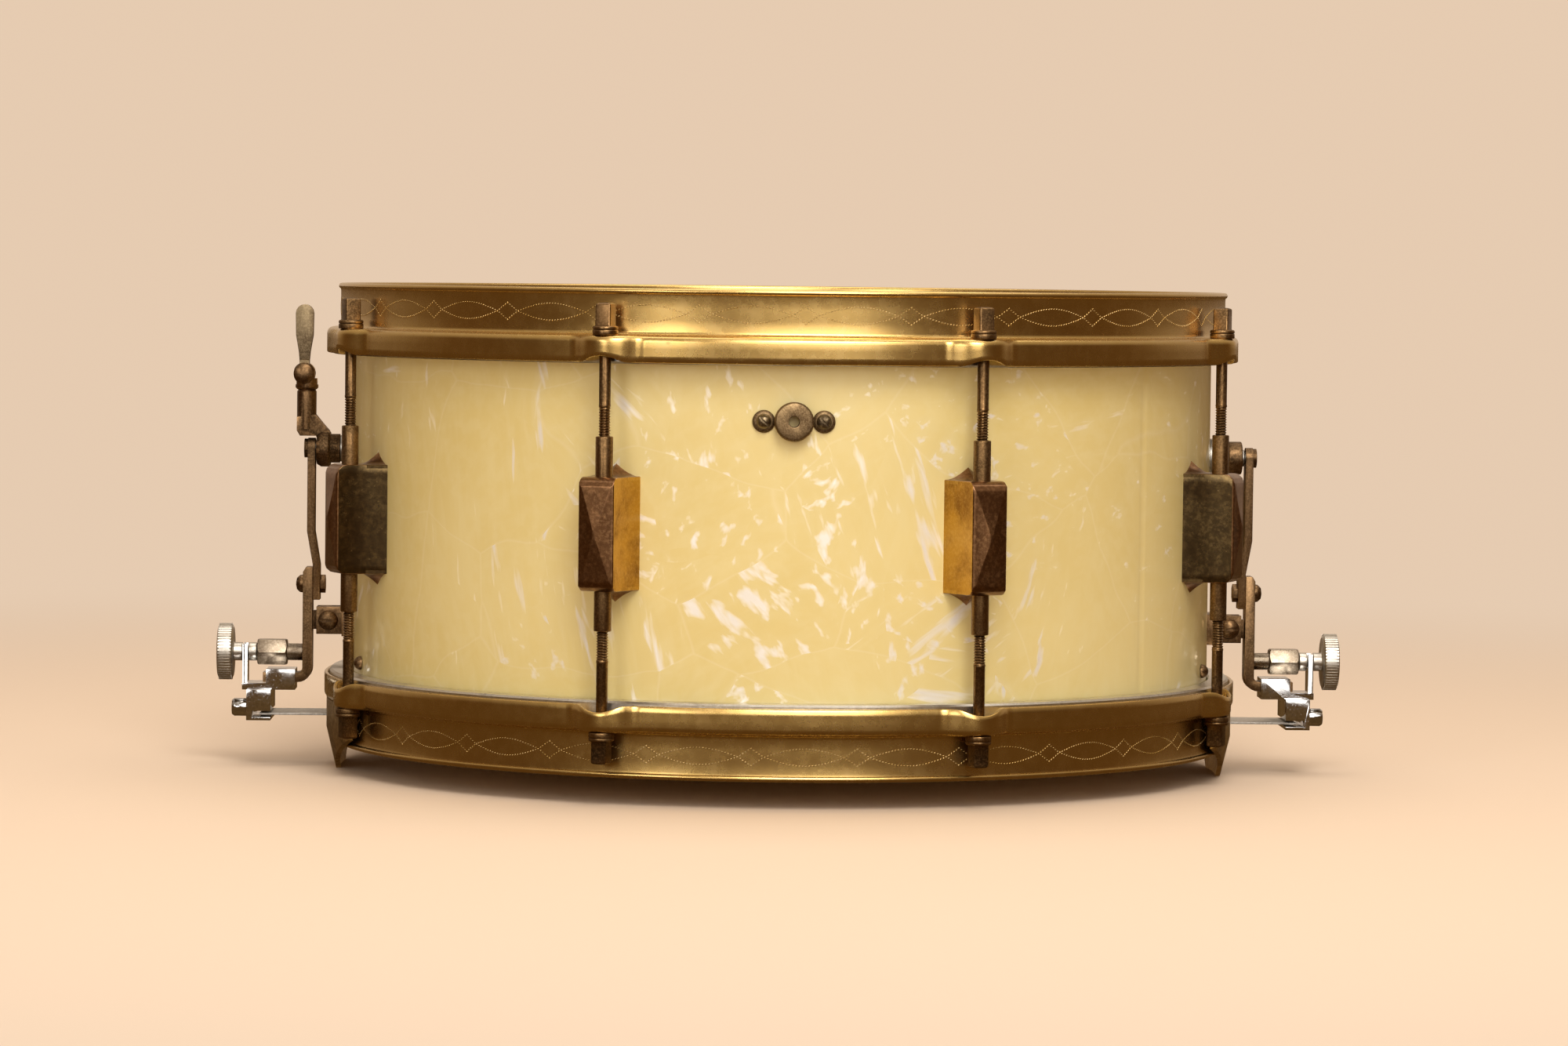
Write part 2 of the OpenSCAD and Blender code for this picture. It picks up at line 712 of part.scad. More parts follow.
module arm() {
    z_foot = z_leg - leg_t / 2;
    z_top = z_lap + 7.1;
    color(BRONZE) difference() {
        union() {
            side_plate(arm_w, concat(
                [[leg_end, z_foot], [leg_end, z_foot + leg_t]],
                arc(arm_out + 2, z_foot + leg_t + 2, 2, 270, 180, 4),
                [[arm_out, z_top - 2], [arm_out - 1.2, z_top], [arm_x, z_top]],
                arc(arm_x + 6, z_foot + 6, 6, 180, 270, 6)));
            // tab that reaches in to the pivot
            translate([pivot_x, -2, z_pivot - 3.9]) cube([arm_x + 1 - pivot_x, 4, 7.8]);
            across(pivot_x, z_pivot, 4, 7.8);
        }
        across(pivot_x, z_pivot, 20, pin_d + 2 * run);
        along_x(radius, radius + 30, z_lap, lap_bolt_d);
        along_x(arm_x - 1, arm_out + 1, z_thumb, post_d);
    }
}

module lap_bolt() {
    head_x = arm_out;
    color(BRONZE) union() {
        along_x(strap_x - 2.2, head_x + 0.1, z_lap, lap_bolt_d);
        translate([head_x, 0, z_lap]) rotate([0, 90, 0]) difference() {
            rotate_extrude() polygon([[0, 0], [3.8, 0], [3.6, 1.4], [2.4, 2.7], [0, 3.2]]);
            rotate([0, 0, 45]) translate([-5, -0.45, 2]) cube([10, 0.9, 3]);
        }
        translate([strap_x - 2.2, 0, z_lap]) rotate([0, 90, 0]) cylinder(h = 2.2, d = 7.6, $fn = 6);
    }
}

// Threaded post on the arm, which the thumb screw runs in.
module post() {
    color(STEEL) difference() {
        union() {
            along_x(arm_x, arm_out + 0.1, z_thumb, post_d);
            along_x(arm_out, hex_x + 0.5, z_thumb, 7);
            intersection() {
                translate([hex_x, 0, z_thumb]) rotate([30, 0, 0]) rotate([0, 90, 0])
                    cylinder(h = hex_end - hex_x, d = hex_w / cos(30), $fn = 6);
                translate([hex_x, 0, z_thumb]) rotate([0, 90, 0]) rotate_extrude() polygon([
                    [0, 0], [5, 0], [6.1, 0.9], [6.1, 11.5], [5, 12.4], [0, 12.4]]);
            }
        }
        along_x(hex_x - 3, hex_end + 5, z_thumb, screw_shank + 2 * run);
    }
}

module thumb_screw() {
    color(STEEL) union() {
        along_x(hex_x - 2, hex_end + 1, z_thumb, screw_shank);
        along_x(hex_end + gap, groove_x, z_thumb, neck_d);
        along_x(groove_x - 0.5, groove_x + groove_w + 0.5, z_thumb, groove_d);
        along_x(groove_x + groove_w, knob_x + 0.5, z_thumb, neck_d);
        translate([knob_x, 0, z_thumb]) rotate([0, 90, 0]) rotate_extrude() polygon([
            [0, 0], [knob_d / 2 - 1.2, 0], [knob_d / 2, 1], [knob_d / 2, knob_w - 1],
            [knob_d / 2 - 1.2, knob_w], [0, knob_w]]);
    }
}

// Slide on the arm's foot, with a fork round the thumb screw's groove and the strip's jaw.
module slide() {
    half_w = arm_w / 2 + gap + 2.7;
    z_over = z_leg + leg_t / 2 + gap;
    fork_x = groove_x + gap;
    fork_t = groove_w - 2 * gap;
    slot_r = groove_d / 2 + gap;
    jaw_z = z_strand - jaw_h / 2;
    block_z = plate_z - block_h;
    color("gainsboro") difference() {
        union() {
            translate([radius + 23.2, -half_w, plate_z]) cube([12, 2 * half_w, z_over + 1.2 - plate_z]);
            translate([radius + 23.2, -half_w, plate_z])
                cube([fork_x + fork_t - radius - 23.2, 2 * half_w, 2.7]);
            translate([fork_x, -5.5, plate_z]) cube([fork_t, 11, z_thumb + 3.4 - plate_z]);
            difference() {
                translate([block_x, -block_w / 2, block_z])
                    cube([block_end - block_x, block_w, block_h + 0.5]);
                // jaw for the strip, open towards the drum
                translate([block_x - 1, -block_w / 2 - 1, jaw_z])
                    cube([8.5, block_w + 2, jaw_h]);
            }
        }
        translate([radius + 22, -arm_w / 2 - gap, z_leg - leg_t / 2 - gap])
            cube([14, arm_w + 2 * gap, leg_t + 2 * gap]);
        // slot that drops over the screw's groove
        along_x(fork_x - 1, fork_x + fork_t + 1, z_thumb, 2 * slot_r);
        translate([fork_x - 1, -slot_r, z_thumb]) cube([fork_t + 2, 2 * slot_r, 8]);
        along_x(block_end - 2.6, block_end + 1, jaw_z + 3, screw_d + 2 * run);
    }
}

module clamp_screw() {
    z = z_strand - jaw_h / 2 + 3;
    color(STEEL) union() {
        along_x(block_end - 2.2, block_end + 1, z, screw_d);
        translate([block_end + gap, 0, z]) rotate([0, 90, 0]) difference() {
            rotate_extrude() polygon([[0, 0], [3.2, 0], [3.7, 0.6], [3.7, 5.6], [3, 6.6], [0, 6.6]]);
            rotate([0, 0, 45]) translate([-5, -0.5, 5.2]) cube([10, 1, 3]);
        }
    }
}

// Base-plate screws

module dome_screws() {
    color(BRONZE) for (s = [-90, 90]) for (b = [-dome_spread, dome_spread]) {
        a = s + b;
        radial(a, dome_z, inner_r - 1, radius + 0.3, screw_d);
        at_angle(a) translate([0, -radius, dome_z]) rotate([90, 0, 0])
            rotate_extrude() polygon(concat([[0, 0]], arc(0, 0.2, 2.85, 0, 90, 5)));
        radial(a, dome_z, inner_r - 3.4, inner_r - 0.4, 7);
    }
}

// Snares

module snare_wires() {
    end_x = inner_r - 6;
    span = strand_pitch * (strand_count - 1);
    plate_l = 9;
    color(STEEL) union() {
        for (i = [0:strand_count - 1])
            along_x(-end_x, end_x, z_strand, strand_d, (i * strand_pitch) - span / 2);
        for (s = [-1, 1]) hand(s) {
            translate([end_x - plate_l, -strip_w / 2, z_strand - strand_d / 2 - 0.2])
                cube([plate_l, strip_w, strand_d / 2 + 0.5]);
            translate([end_x - 2, -strip_w / 2, z_strip])
                cube([block_x + 4.6 - end_x + 2, strip_w, strip_t]);
        }
    }
}

module snare_guards() {
    x0 = wall_r + 2.7;
    z_hoop = guard_drop;
    z_face = z_mid - ledge;
    z_bend = z_hoop + 6;
    foot = 19;
    lean = 4;
    end_y = (x0 + guard_t) * sin(guard_span) + 2;
    color(BRONZE) for (s = [-1, 1]) hand(s) difference() {
        intersection() {
            rotate([0, 0, -guard_span]) rotate_extrude(angle = 2 * guard_span, $fn = 180) polygon([
                [wall_r + 0.05, z_face - 1.5], [x0, z_face - 1.5], [x0, z_bend], [x0 - lean, 0],
                [x0 - lean + guard_t, 0], [x0 + guard_t, z_bend], [x0 + guard_t, z_face],
                [wall_r + 1.5, z_face], [wall_r + 0.05, z_face - 1.45]]);
            rotate([90, 0, 90]) linear_extrude(2 * radius) polygon(concat(
                [[-end_y, z_hoop + 5]],
                [for (i = [1:5]) [-foot - (end_y - foot) * pow(1 - i / 5, 1.3),
                                  (z_hoop + 5) * (1 - i / 5)]],
                [for (i = [5:-1:1]) [foot + (end_y - foot) * pow(1 - i / 5, 1.3),
                                     (z_hoop + 5) * (1 - i / 5)]],
                [[end_y, z_hoop + 5], [end_y, z_face + 2], [-end_y, z_face + 2]]));
        }
        // slot that the strip runs through
        translate([wall_r, -strip_w / 2 - 2, z_strip - 2.6])
            cube([20, strip_w + 4, strip_t + 4]);
    }
}

shell();
shell_wrap();
batter_hoop();
snare_hoop();
batter_head();
snare_head();
batter_flesh_hoop();
snare_flesh_hoop();
lugs();
lug_tubes();
rod_washers();
shell_screws();
for (i = [1:TURNS]) batter_rod(i);
for (i = [1:TURNS]) snare_rod(i);
tone_knob();
tone_bracket();
tone_pin();
tone_arm();
tone_felt();
tone_screws();
tone_cups();
rod_bushings();
cross_rod();
cam_collar();
throw_lever();
lever_handle();
handle_pin();
clevises();
pivot_screws();
dome_screws();
hand(-1) strap();  // strap_left
hand(1) strap();  // strap_right
hand(-1) arm();  // arm_left
hand(1) arm();  // arm_right
hand(-1) lap_bolt();  // lap_bolt_left
hand(1) lap_bolt();  // lap_bolt_right
hand(-1) post();  // post_left
hand(1) post();  // post_right
hand(-1) slide();  // slide_left
hand(1) slide();  // slide_right
hand(-1) thumb_screw();  // thumb_screw_left
hand(1) thumb_screw();  // thumb_screw_right
hand(-1) clamp_screw();  // clamp_screw_left
hand(1) clamp_screw();  // clamp_screw_right
snare_wires();
snare_guards();
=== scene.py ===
import json
import math

import bmesh
import bpy
from mathutils import Matrix, Quaternion, Vector

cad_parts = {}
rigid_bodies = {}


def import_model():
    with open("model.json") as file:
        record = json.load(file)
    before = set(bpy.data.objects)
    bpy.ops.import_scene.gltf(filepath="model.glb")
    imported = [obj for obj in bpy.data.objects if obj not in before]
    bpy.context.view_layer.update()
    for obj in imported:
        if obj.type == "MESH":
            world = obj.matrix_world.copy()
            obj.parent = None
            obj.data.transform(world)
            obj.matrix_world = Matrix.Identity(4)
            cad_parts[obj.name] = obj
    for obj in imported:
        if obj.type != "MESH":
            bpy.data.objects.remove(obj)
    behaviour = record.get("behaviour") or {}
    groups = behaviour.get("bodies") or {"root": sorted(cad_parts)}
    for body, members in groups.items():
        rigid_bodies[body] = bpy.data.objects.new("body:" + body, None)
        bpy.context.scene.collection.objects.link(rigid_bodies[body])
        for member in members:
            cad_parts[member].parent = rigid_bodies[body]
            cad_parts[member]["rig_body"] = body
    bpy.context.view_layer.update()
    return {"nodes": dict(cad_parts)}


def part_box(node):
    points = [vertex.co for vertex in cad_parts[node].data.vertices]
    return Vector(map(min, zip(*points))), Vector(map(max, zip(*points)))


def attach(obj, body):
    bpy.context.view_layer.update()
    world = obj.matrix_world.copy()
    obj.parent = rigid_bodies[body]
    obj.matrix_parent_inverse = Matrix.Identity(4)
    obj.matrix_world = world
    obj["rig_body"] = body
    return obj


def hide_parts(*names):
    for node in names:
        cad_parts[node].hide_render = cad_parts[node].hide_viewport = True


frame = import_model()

# Camera, room and light.
# A long lens a little above the head looks at the drum's front. The room is a plain peach
# colour. A soft lamp hangs high in front, and a wide weaker one stands behind the camera.
MM = 0.001
scene = bpy.context.scene
scene.view_settings.view_transform = "Standard"


def linked(name, data):
    """An object in the scene, from its data or from a bmesh, which is freed."""
    if isinstance(data, bmesh.types.BMesh):
        mesh = bpy.data.meshes.new(name)
        data.to_mesh(mesh)
        data.free()
        data = mesh
    obj = bpy.data.objects.new(name, data)
    scene.collection.objects.link(obj)
    return obj


lens = bpy.data.cameras.new("camera")
lens.sensor_width, lens.lens = 36, 126.56
lens.clip_start, lens.clip_end = 0.1, 200
camera = linked("camera", lens)
scene.camera = camera
camera.location = (-0.0600, -2.2935, 0.2107)
aim = Vector((0.0014, 0, 0.1022)) - camera.location
ROLL = math.radians(0.68)
camera.rotation_mode = "QUATERNION"
camera.rotation_quaternion = aim.to_track_quat("-Z", "Y") @ Quaternion((0, 0, 1), ROLL)


def shader(tree, kind, values=None, **settings):
    """A shader node with its settings and its inputs' values."""
    node = tree.nodes.new("ShaderNode" + kind)
    for name, value in settings.items():
        setattr(node, name, value)
    for name, value in (values or {}).items():
        node.inputs[name].default_value = value
    return node


def ramp(tree, factor, *stops):
    """A colour ramp of (position, colour or grey) stops."""
    node = tree.nodes.new("ShaderNodeValToRGB")
    for i, (place, colour) in enumerate(stops):
        stop = node.color_ramp.elements[i] if i < 2 else node.color_ramp.elements.new(place)
        stop.position = place
        stop.color = (*colour, 1) if isinstance(colour, tuple) else (colour, colour, colour, 1)
    tree.links.new(factor, node.inputs[0])
    return node.outputs["Color"]


def mixed(tree, factor, a, b, blend="MIX"):
    """Two colours mixed; each is a socket or a colour, and factor a socket or a number."""
    node = shader(tree, "Mix", data_type="RGBA", blend_type=blend)
    for index, value in ((0, factor), (6, a), (7, b)):
        if isinstance(value, bpy.types.NodeSocket):
            tree.links.new(value, node.inputs[index])
        elif index:
            node.inputs[index].default_value = (*value, 1)
        else:
            node.inputs[0].default_value = value
    return node.outputs[2]


ROOM = (0.79, 0.60, 0.44)
world = bpy.data.worlds.new("room")
scene.world = world
world.use_nodes = True
tree = world.node_tree
tree.nodes.clear()
ray = shader(tree, "LightPath")
facing = shader(tree, "SeparateXYZ")
tree.links.new(shader(tree, "TexCoord").outputs["Generated"], facing.inputs[0])
depth = shader(tree, "MapRange", {1: -1.0, 2: 1.0})
tree.links.new(facing.outputs["Y"], depth.inputs[0])
around = ramp(tree, depth.outputs[0], (0, (0.11, 0.052, 0.015)), (0.28, (0.08, 0.036, 0.010)),
              (0.55, (0.12, 0.056, 0.017)), (0.72, (0.36, 0.27, 0.19)), (1, (0.62, 0.48, 0.36)))
above = shader(tree, "MapRange", {1: 0.15, 2: 0.8})
tree.links.new(facing.outputs["Z"], above.inputs[0])
sky = mixed(tree, above.outputs[0], around, (0.55, 0.44, 0.33))
seen = mixed(tree, ray.outputs["Is Camera Ray"], sky, ROOM)
glow = shader(tree, "Background")
tree.links.new(seen, glow.inputs[0])
tree.links.new(glow.outputs[0], shader(tree, "OutputWorld").inputs[0])


def soft_lamp(name, place, width, height, power):
    """A soft rectangular lamp, turned to the drum's middle, that no camera sees."""
    data = bpy.data.lights.new(name, "AREA")
    data.shape, data.size, data.size_y = "RECTANGLE", width, height
    data.energy, data.color = power, (1, 0.95, 0.88)
    lamp = linked(name, data)
    lamp.location = place
    middle = Vector((0, 0, 0.1))
    lamp.rotation_euler = (middle - Vector(place)).to_track_quat("-Z", "Z").to_euler()
    lamp.visible_camera = False


soft_lamp("key_lamp", (0.3, -2.0, 2.0), 1.2, 1.2, 44)
soft_lamp("front_lamp", (0.3, -2.75, 1.0), 1.7, 1.3, 24)
soft_lamp("fill_lamp", (-1.5, -2.3, 0.9), 0.7, 1.4, 13)
soft_lamp("top_lamp", (0.1, 0.3, 2.0), 1.8, 1.4, 16)

bm = bmesh.new()
bmesh.ops.create_circle(bm, cap_ends=True, segments=96, radius=40)
floor = linked("floor", bm)
paint = bpy.data.materials.new("pale_floor")
paint.use_nodes = True
tree = paint.node_tree
paper = tree.nodes["Principled BSDF"]
paper.inputs["Base Color"].default_value = (0.76, 0.60, 0.46, 1)
paper.inputs["Roughness"].default_value = 0.8
far = shader(tree, "Emission", {"Color": (*ROOM, 1)})
from_middle = shader(tree, "VectorMath", operation="LENGTH")
tree.links.new(shader(tree, "TexCoord").outputs["Object"], from_middle.inputs[0])
fade = shader(tree, "MapRange", {1: 0.36, 2: 1.3}, interpolation_type="SMOOTHSTEP")
tree.links.new(from_middle.outputs["Value"], fade.inputs[0])
blend = shader(tree, "MixShader")
for socket, source in ((0, fade.outputs[0]), (1, paper.outputs[0]), (2, far.outputs[0])):
    tree.links.new(source, blend.inputs[socket])
# For glossy rays the floor glows dark brown instead of its own colour: a painted dark reflection seen in
# the metal.
dim = shader(tree, "MixShader")
painted_dark_reflection = shader(tree, "Emission", {"Color": (0.12, 0.062, 0.02, 1)})
for socket, source in ((0, shader(tree, "LightPath").outputs["Is Glossy Ray"]),
                       (1, blend.outputs[0]), (2, painted_dark_reflection.outputs[0])):
    tree.links.new(source, dim.inputs[socket])
tree.links.new(dim.outputs[0], tree.nodes["Material Output"].inputs[0])
floor.data.materials.append(paint)

# Shell of steam-bent maple.
# A ply shell with glued reinforcing rings; the bearing edges are turned on it. Bare inside.


def finish_for(name, colour=(0.8, 0.8, 0.8), roughness=0.5, metal=0.0, **more):
    """A new material: its shader tree and its Principled node, with constants set on it."""
    material = bpy.data.materials.new(name)
    material.use_nodes = True
    body = material.node_tree.nodes["Principled BSDF"]
    body.inputs["Base Color"].default_value = (*colour, 1)
    body.inputs["Roughness"].default_value = roughness
    body.inputs["Metallic"].default_value = metal
    for key, value in more.items():
        body.inputs[key.replace("_", " ")].default_value = value
    return material, material.node_tree, body


def bumped(tree, body, height, distance, strength=1.0):
    """Feeds a height into the surface's normal."""
    bump = shader(tree, "Bump", {"Strength": strength, "Distance": distance})
    tree.links.new(height, bump.inputs["Height"])
    tree.links.new(bump.outputs[0], body.inputs["Normal"])


def dress(obj, *materials):
    """Gives a piece or a CAD node its materials."""
    obj.data.materials.clear()
    for material in materials:
        obj.data.materials.append(material)
    return obj


def stretched(tree, scale):
    """The piece's own coordinates, scaled apart along X, Y and Z."""
    mapping = shader(tree, "Mapping", {"Scale": scale})
    tree.links.new(shader(tree, "TexCoord").outputs["Object"], mapping.inputs[0])
    return mapping.outputs[0]


def noise(tree, vector, scale, detail=4.0, roughness=0.55, distortion=0.0):
    """Fractal noise on a vector."""
    node = shader(tree, "TexNoise", {"Scale": scale, "Detail": detail, "Roughness": roughness,
                                     "Distortion": distortion})
    tree.links.new(vector, node.inputs["Vector"])
    return node.outputs["Fac"]


maple, tree, body = finish_for("maple", roughness=0.5)
figure = noise(tree, stretched(tree, (1, 1, 14)), 12, 5, 0.6, 0.6)
pores = noise(tree, stretched(tree, (1, 1, 30)), 90, 3, 0.7)
wood = ramp(tree, figure, (0.3, (0.42, 0.245, 0.115)), (0.55, (0.60, 0.385, 0.20)),
            (0.75, (0.50, 0.30, 0.145)))
tree.links.new(mixed(tree, 0.35, wood, ramp(tree, pores, (0.35, (0.36, 0.2, 0.09)),
                                            (0.6, (0.72, 0.5, 0.28)))), body.inputs["Base Color"])
bumped(tree, body, pores, 0.0001)
dress(frame["nodes"]["shell"], maple)

# Pearl covering.
# One sheet of cream celluloid with silky flakes of pearl in it, wrapped round the shell and
# glued where its ends meet. It has gone yellow with age.


def new_piece(name, mesh, body, slot, *materials, smooth=None):
    """A finished piece from a mesh or bmesh: on its body, with its materials; the slot is not used."""
    obj = linked(name, mesh)
    dress(obj, *materials)
    for polygon in obj.data.polygons:
        polygon.use_smooth = True
    if smooth:
        obj.data.set_sharp_from_angle(angle=math.radians(smooth))
    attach(obj, body)
    return obj


def loft(bm, rings, closed=False):
    """Faces between rings of equally many points; the first and last ring are joined, or capped."""
    made = [[bm.verts.new(p) for p in ring] for ring in rings]
    count = len(made[0])
    pairs = list(zip(made, made[1:])) + ([(made[-1], made[0])] if closed else [])
    for a, b in pairs:
        for i in range(count):
            j = (i + 1) % count
            bm.faces.new((a[i], a[j], b[j], b[i]))
    if not closed:
        bm.faces.new(made[0][::-1])
        bm.faces.new(made[-1])
    return made


def turned(radius, angle, z):
    """A point at a radius and an angle from the front, towards +X."""
    return (radius * math.sin(angle), -radius * math.cos(angle), z)


def outwards(bm):
    """Merges doubles and turns every face outwards."""
    bmesh.ops.remove_doubles(bm, verts=bm.verts, dist=1e-6)
    bmesh.ops.recalc_face_normals(bm, faces=bm.faces)
    return bm


wrap_low, wrap_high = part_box("shell_wrap")
SHELL_R = wrap_high.x
SEAM = math.radians(52.5)
WRAP_T, WRAP_EDGE = 0.8 * MM, 0.25 * MM
GAP_DEEP, GAP_WIDE = 0.28 * MM, 0.22 * MM
LAP_DEEP, LAP_WIDE = 0.12 * MM, 4 * MM
TURNS = 720


def wrap_profile(step):
    """Cross-section of the sheet, as radius and height; step lowers its face at the seam."""
    outer = SHELL_R - step
    inner = SHELL_R - WRAP_T
    rows = [(inner, wrap_low.z), (outer - WRAP_EDGE, wrap_low.z), (outer, wrap_low.z + WRAP_EDGE)]
    levels = 16
    for i in range(1, levels):
        rows.append((outer, wrap_low.z + (wrap_high.z - wrap_low.z) * i / levels))
    rows += [(outer, wrap_high.z - WRAP_EDGE), (outer - WRAP_EDGE, wrap_high.z), (inner, wrap_high.z)]
    return rows


bm = bmesh.new()
rings = []
for i in range(TURNS):
    share = i / TURNS
    turn_angle = SEAM + 2 * math.pi * share
    from_seam = min(share, 1 - share) * 2 * math.pi * SHELL_R
    sunk = GAP_DEEP * math.exp(-((from_seam / GAP_WIDE) ** 2))
    sunk += LAP_DEEP * math.exp(-from_seam / LAP_WIDE) if share > 0.5 else 0
    rings.append([turned(r, turn_angle, z) for r, z in wrap_profile(sunk)])
loft(bm, rings, closed=True)

pearl, tree, body = finish_for("cream_pearl", roughness=0.34, Coat_Weight=0.85,
                               Coat_Roughness=0.07)
bend = shader(tree, "TexNoise", {"Scale": 14.0, "Detail": 2.0})
here = shader(tree, "TexCoord").outputs["Object"]
tree.links.new(here, bend.inputs["Vector"])
bent = shader(tree, "VectorMath", operation="MULTIPLY_ADD")
bent.inputs[1].default_value = (0.03, 0.03, 0.03)
tree.links.new(bend.outputs["Color"], bent.inputs[0])
tree.links.new(here, bent.inputs[2])


def flakes(scale, squeeze, seed):
    """Angular flakes of pearl, each with silky streaks of its own direction."""
    place = shader(tree, "Mapping", {"Scale": squeeze, "Rotation": (0.4 * seed, 0.9 * seed, 0.3)})
    tree.links.new(bent.outputs[0], place.inputs[0])
    cell = shader(tree, "TexVoronoi", {"Scale": scale, "Randomness": 1.0}, feature="F1")
    edge = shader(tree, "TexVoronoi", {"Scale": scale, "Randomness": 1.0},
                  feature="DISTANCE_TO_EDGE")
    for voronoi in (cell, edge):
        tree.links.new(place.outputs[0], voronoi.inputs["Vector"])
    way = shader(tree, "VectorRotate", rotation_type="EULER_XYZ")
    spin = shader(tree, "VectorMath", operation="SCALE")
    spin.inputs["Scale"].default_value = 6.0
    tree.links.new(cell.outputs["Color"], spin.inputs[0])
    tree.links.new(here, way.inputs["Vector"])
    tree.links.new(spin.outputs[0], way.inputs["Rotation"])
    silk = shader(tree, "Mapping", {"Scale": (1, 7, 7)})
    tree.links.new(way.outputs[0], silk.inputs[0])
    streak = noise(tree, silk.outputs[0], 26, 2.6, 0.5, 0.3)
    grey = shader(tree, "SeparateColor")
    tree.links.new(cell.outputs["Color"], grey.inputs[0])
    return grey.outputs[0], streak, edge.outputs["Distance"]


cell_a, streak_a, edge_a = flakes(15, (1, 1, 1.4), 1.0)
cell_b, streak_b, _ = flakes(24, (1, 1, 0.7), 2.3)
cream = ramp(tree, noise(tree, here, 9, 3), (0.3, (0.61, 0.49, 0.19)), (0.7, (0.68, 0.575, 0.27)))
silky = mixed(tree, 0.5, ramp(tree, streak_a, (0.42, 0.0), (0.66, 1.0)),
              ramp(tree, streak_b, (0.42, 0.0), (0.66, 1.0)))
faint = shader(tree, "Math", {1: 0.42}, operation="MULTIPLY")
tree.links.new(silky, faint.inputs[0])
tone = mixed(tree, faint.outputs[0], cream, (0.70, 0.62, 0.34))
low_front = shader(tree, "VectorMath", operation="DISTANCE")
low_front.inputs[1].default_value = (0.01, -0.17, 0.055)
tree.links.new(here, low_front.inputs[0])
where = shader(tree, "MapRange", {1: 0.02, 2: 0.15, 3: 0.075, 4: -0.02})
tree.links.new(low_front.outputs["Value"], where.inputs[0])


def shards(chosen, streak):
    """Long tapering shards within the chosen cells, more of them low at the front."""
    level = shader(tree, "Math", operation="ADD")
    tree.links.new(streak, level.inputs[0])
    tree.links.new(where.outputs[0], level.inputs[1])
    return mixed(tree, 1.0, ramp(tree, chosen, (0.42, 0.0), (0.46, 1.0)),
                 ramp(tree, level.outputs[0], (0.635, 0.0), (0.70, 0.5), (0.78, 1.0)), "MULTIPLY")


shine = mixed(tree, 1.0, shards(cell_a, streak_a), shards(cell_b, streak_b), "LIGHTEN")
lines = ramp(tree, edge_a, (0.0, 0.55), (0.012, 0.0))
with_lines = mixed(tree, 1.0, tone, lines, "SCREEN")
soft_lines = mixed(tree, 0.12, tone, with_lines)
tree.links.new(mixed(tree, shine, soft_lines, (0.98, 0.95, 0.88)), body.inputs["Base Color"])
sheen = shader(tree, "Math", {1: 0.45}, operation="MULTIPLY")
tree.links.new(shine, sheen.inputs[0])
tree.links.new(sheen.outputs[0], body.inputs["Metallic"])
bumped(tree, body, noise(tree, here, 60, 2), 0.0002, 0.25)
wrap = new_piece("pearl_covering", outwards(bm), "drum", "pearl", pearl, smooth=35)
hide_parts("shell_wrap")

# Counter hoops.
# Spun and rolled from sheet brass, one wall with a rolled rim and one band outside it, joined by
# a ledge that the rods' collars press on. Eight ears are pushed out of the band, its free edge
# scooped under each. Every hoop is one ring; the lower is the upper turned over.


def effect(name, inputs, outputs):
    """A shader node group: inputs with their kinds and values, outputs with their kinds."""
    group = bpy.data.node_groups.new(name, "ShaderNodeTree")
    for label, kind, value in inputs:
        socket = group.interface.new_socket(label, in_out="INPUT", socket_type="NodeSocket" + kind)
        socket.default_value = (*value, 1) if isinstance(value, tuple) else value
    for label, kind in outputs:
        group.interface.new_socket(label, in_out="OUTPUT", socket_type="NodeSocket" + kind)
    return group, group.nodes.new("NodeGroupInput").outputs, group.nodes.new("NodeGroupOutput").inputs


def maths(tree, operation, a, b):
    """One Math node; a and b are sockets or numbers."""
    node = shader(tree, "Math", operation=operation, use_clamp=operation != "SUBTRACT")
    for index, value in enumerate((a, b)):
        if isinstance(value, bpy.types.NodeSocket):
            tree.links.new(value, node.inputs[index])
        else:
            node.inputs[index].default_value = value
    return node.outputs[0]


aged, given, result = effect(
    "aged_metal",
    [("Bright", "Color", (0.8, 0.6, 0.3)), ("Middle", "Color", (0.5, 0.35, 0.15)),
     ("Dark", "Color", (0.15, 0.09, 0.04)), ("Scale", "Float", 20.0), ("Patina", "Float", 0.5),
     ("Pits", "Float", 0.5), ("Wear", "Float", 0.6), ("Polish", "Float", 0.25)],
    [("Color", "Color"), ("Roughness", "Float"), ("Height", "Float")])
here = shader(aged, "TexCoord").outputs["Object"]
sized = shader(aged, "VectorMath", operation="SCALE")
aged.links.new(here, sized.inputs[0])
aged.links.new(given["Scale"], sized.inputs["Scale"])
clouds = noise(aged, sized.outputs[0], 1.0, 7, 0.66, 0.4)
specks = noise(aged, sized.outputs[0], 22.0, 3, 0.7)
start = maths(aged, "SUBTRACT", 0.78, maths(aged, "MULTIPLY", given["Patina"], 0.45))
cloud_mask = shader(aged, "MapRange", {2: 1.0}, interpolation_type="SMOOTHSTEP")
aged.links.new(clouds, cloud_mask.inputs[0])
aged.links.new(maths(aged, "SUBTRACT", start, 0.14), cloud_mask.inputs[1])
aged.links.new(maths(aged, "ADD", start, 0.12), cloud_mask.inputs[2])
pit = shader(aged, "TexVoronoi", {"Scale": 30.0}, feature="F1")
aged.links.new(sized.outputs[0], pit.inputs["Vector"])
holes = ramp(aged, pit.outputs["Distance"], (0.10, 1.0), (0.22, 0.0))
holes = maths(aged, "MULTIPLY", holes, ramp(aged, specks, (0.50, 0.0), (0.60, 1.0)))
holes = maths(aged, "MULTIPLY", holes, given["Pits"])
rubbed = shader(aged, "MapRange", {1: 0.515, 2: 0.60})
aged.links.new(shader(aged, "NewGeometry").outputs["Pointiness"], rubbed.inputs[0])
edges = maths(aged, "MULTIPLY", rubbed.outputs[0], given["Wear"])
edges = maths(aged, "MULTIPLY", edges, ramp(aged, specks, (0.3, 0.35), (0.6, 1.0)))
